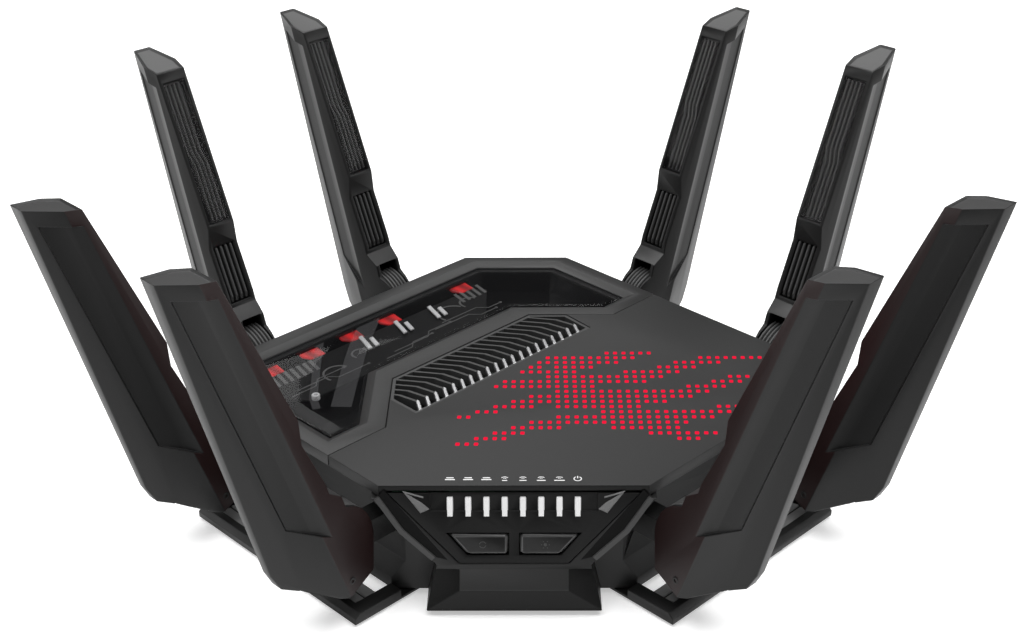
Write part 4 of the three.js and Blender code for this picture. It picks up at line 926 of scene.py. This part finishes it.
# ---------------------------------------------------------------------------
# Antennas
# ---------------------------------------------------------------------------
def blade_shape(label):
    """Recesses the tip cap and paints shade by facing: the inner planes and groove walls take darker copies of the
    blade's material, red-tinted on the front blades' inner planes, and low up-facing faces take the ledge grey.
    """
    upright = hinge_place(label, ANTENNA_LEAN)
    red = label.startswith("front")

    def shape(work, mesh):
        mesh.materials.append(BLADE_SHADE)
        mesh.materials.append(BLADE_RED_SHADE if red else BLADE_SHADE)
        mesh.materials.append(LEDGE)
        mesh.materials.append(CAP_RIM)
        mesh.materials.append(CAP)
        top = None
        for face in work.faces:
            x, y, z = upright.local([face.calc_center_median()])[0]
            nx, ny, nz = (upright.axes @ np.array(face.normal)).tolist()
            if nz > 0.8 and z > 150 and (top is None or face.calc_area() > top.calc_area()):
                top = face
            inner_plane = abs(ny) > 0.9 and nx < -0.1 and z > 20
            groove_wall = abs(ny) > 0.9 and 0.05 < nx < 0.19 and z > 20
            if inner_plane:
                face.material_index = 2
            elif groove_wall:
                face.material_index = 1
            elif -14 < x < -7.5 and 24 < z < 34 and nz > 0.3:
                face.material_index = 3
        if top is not None:
            made = bmesh.ops.inset_individual(work, faces=[top], thickness=2.2 * MM, depth=-1.0 * MM)
            top.material_index = 5
            for face in made["faces"]:
                face.material_index = 4
    return shape


def edge_x(z):
    """The blade's upper inner edge, upright: straight from the knee to the tip."""
    return -9.1 + (np.asarray(z, float) - 77.9) * (-2.1 + 9.1) / (163.3 - 77.9)


def upright_rib(y, z, depth_low, depth_high, half):
    """A rib along the inner edge: its section is a low hump between two depths from the edge, at
    the given y for each z."""
    rings = []
    for yy, zz in zip(y, z):
        x = float(edge_x(zz))
        rings.append(
            [
                (x + depth_low, yy - half, zz),
                (x + depth_low, yy + half, zz),
                (x + depth_high + 0.4, yy + half * 0.8, zz),
                (x + depth_high, yy + half * 0.35, zz),
                (x + depth_high, yy - half * 0.35, zz),
                (x + depth_high + 0.4, yy - half * 0.8, zz),
            ]
        )
    return loft(rings)


def cover_ribs():
    """Four ribs under the clear cover. Halfway up they jog sideways along a slant."""
    z = np.array([81.0, 112.0, 119.0, 156.0])
    shift = np.array([-0.9, -0.9, 0.9, 0.9])
    return together([upright_rib(y + shift, z, 3.7, 1.3, 0.85) for y in (-3.9, -1.3, 1.3, 3.9)])


def insert_ribs():
    """Four ribs in the lower recess, bent outwards at their foot and top."""
    z = np.array([35.1, 36.0, 38.6, 66.0, 66.9])
    x = np.array([-5.6, -7.4, -8.1, -5.7, -4.9])
    forms = []
    for y in (-4.6, -1.55, 1.55, 4.6):
        rings = []
        for a, b in zip(x, z):
            foot = [(-3.3, y - 0.95, b), (-3.3, y + 0.95, b), (a + 0.5, y + 0.8, b)]
            crest = [(a, y + 0.3, b), (a, y - 0.3, b), (a + 0.5, y - 0.8, b)]
            rings.append(foot + crest)
        forms.append(loft(rings))
    return together(forms)


def cover_shell():
    """The clear cover as a thin trough: its section is an open-backed U, carried up the edge."""
    outer = np.array([(3.4, -6.3), (0.0, -6.3), (0.0, 6.3), (3.4, 6.3)])
    inner = np.array([(3.4, 5.6), (0.7, 5.6), (0.7, -5.6), (3.4, -5.6)])
    section = np.concatenate([outer, inner])
    rings = [[(float(edge_x(z)) + x + 0.15, y, z) for x, y in section] for z in (80.0, 157.0)]
    return loft(rings)


DRUM_RADIUS = 21.2


def drum_ribs():
    """Five ribs round the drum on its inner side: each section is a hump on the drum, carried
    round the hinge axis."""
    turn = np.radians(np.linspace(92, 205, 30))
    hump = np.radians(np.linspace(0, 180, 7))
    forms = []
    for y in np.arange(-2, 3) * 2.25:
        side = np.concatenate([[y + 0.75], y + 0.75 * np.cos(hump), [y - 0.75]])
        radius = np.concatenate([[DRUM_RADIUS - 0.4], DRUM_RADIUS + 1.1 * np.sin(hump), [DRUM_RADIUS - 0.4]])
        x = radius[None] * np.cos(turn)[:, None]
        z = radius[None] * np.sin(turn)[:, None]
        forms.append(loft(np.stack([x, np.repeat(side[None], len(turn), 0), z], -1)))
    return together(forms)


SCREW = [(1.9, -0.6), (1.9, 0.25), (1.6, 0.5), (0.95, 0.5), (0.8, -0.1)]


def cheek_screws():
    """A screw head on each cheek, below the hinge."""
    points, faces = lathe(SCREW, 20)
    forms = []
    for s in (-1, 1):
        turned = np.stack([points[:, 0] + 0.9, s * (points[:, 2] + 11.35), points[:, 1] - 17.8], 1)
        forms.append((turned, faces))
    return together(forms)


for label in LABELS:
    upright = hinge_place(label, ANTENNA_LEAN)
    body = "antenna_" + label
    moulding("antenna_" + label, BLADE, 0.5, shape=blade_shape(label))
    shell = piece("cover_" + label, upright, cover_shell(), COVER_CLEAR, body)
    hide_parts("antenna_cover_" + label)
    piece("cover_ribs_" + label, upright, cover_ribs(), RIB, body)
    piece("insert_ribs_" + label, upright, insert_ribs(), RIB, body)
    piece("cheek_screws_" + label, upright, cheek_screws(), BLACK, body, 40)
    painted("hinge_pin_" + label, STEEL)
    moulding("knuckle_" + label, BLACK, 0.4)
    piece("drum_ribs_" + label, hinge_place(label), drum_ribs(), DRUM_GREY, "case", 50)


# ---------------------------------------------------------------------------
# Feet
# ---------------------------------------------------------------------------
DECK_Z = 4.6
DECK_WIDTH = 14.0
FOOT_BAR = 6.7
PLATE_HALF = 53.5


def deck_plate(x0, x1, rise, half):
    """A plate that lies on a foot's deck and slopes up outwards."""
    section = [(x0, DECK_Z - 0.2), (x1, DECK_Z - 0.2), (x1, DECK_Z + rise), (x0, DECK_Z + 0.15)]
    return loft([[(x, y, z) for x, z in section] for y in (-half, half)])


for side in SIDES:
    moulding("foot_" + side, BLACK, 0.4)
    painted("foot_pad_" + side, RUBBER)
    place = foot_place(side)
    corners = [v.co for v in frame["nodes"]["foot_" + side].data.vertices]
    deck_out = place.local(corners)[:, 0].max() - FOOT_BAR
    deck_in = deck_out - DECK_WIDTH
    split = deck_in + 0.47 * DECK_WIDTH
    inner = deck_plate(deck_in + 0.4, split, 0.9, PLATE_HALF)
    outer = deck_plate(split + 0.9, deck_out - 0.3, 1.5, PLATE_HALF)
    # The plates' grey is partly painted light.
    piece("foot_plates_" + side, place, together([inner, outer]), FOOT_GREY_AND_LIGHT)


# ---------------------------------------------------------------------------
# Rear connectors
# ---------------------------------------------------------------------------
LAN_LOW, LAN_HIGH = (np.array(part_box("network_ports")[i]) / MM for i in (0, 1))
USB_LOW, USB_HIGH = (np.array(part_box("usb_ports")[i]) / MM for i in (0, 1))


def contacts():
    """Eight sprung contacts in each network socket: thin bars that slope down to the back."""
    rings = []
    for y, z in ((-11.5, 7.4), (-3.0, 5.4)):
        rings.append([(-0.15, y, z), (0.15, y, z), (0.15, y, z + 0.3), (-0.15, y, z + 0.3)])
    wire = loft(rings)
    pitch = (LAN_HIGH[0] - LAN_LOW[0]) / 4
    middles = LAN_LOW[0] + pitch * (np.arange(4) + 0.5)
    places = [(m + 1.02 * (k - 3.5), 0, LAN_LOW[2]) for m in middles for k in range(8)]
    return copies(wire, places)


def tongues():
    """A tongue in each USB socket, with a gap all round."""
    middle = (USB_LOW[0] + USB_HIGH[0]) / 2
    height = USB_HIGH[2] - USB_LOW[2]
    x = (middle - 5.4, middle + 5.4)
    levels = USB_LOW[2] + height * np.array([0.25, 0.75])
    return together([bar(x, (-11.8, -0.8), (z + 0.2, z + 1.9), 0.15) for z in levels])


piece("network_contacts", REAR, contacts(), GOLD)
piece("usb_tongues", REAR, tongues(), GLOSS)
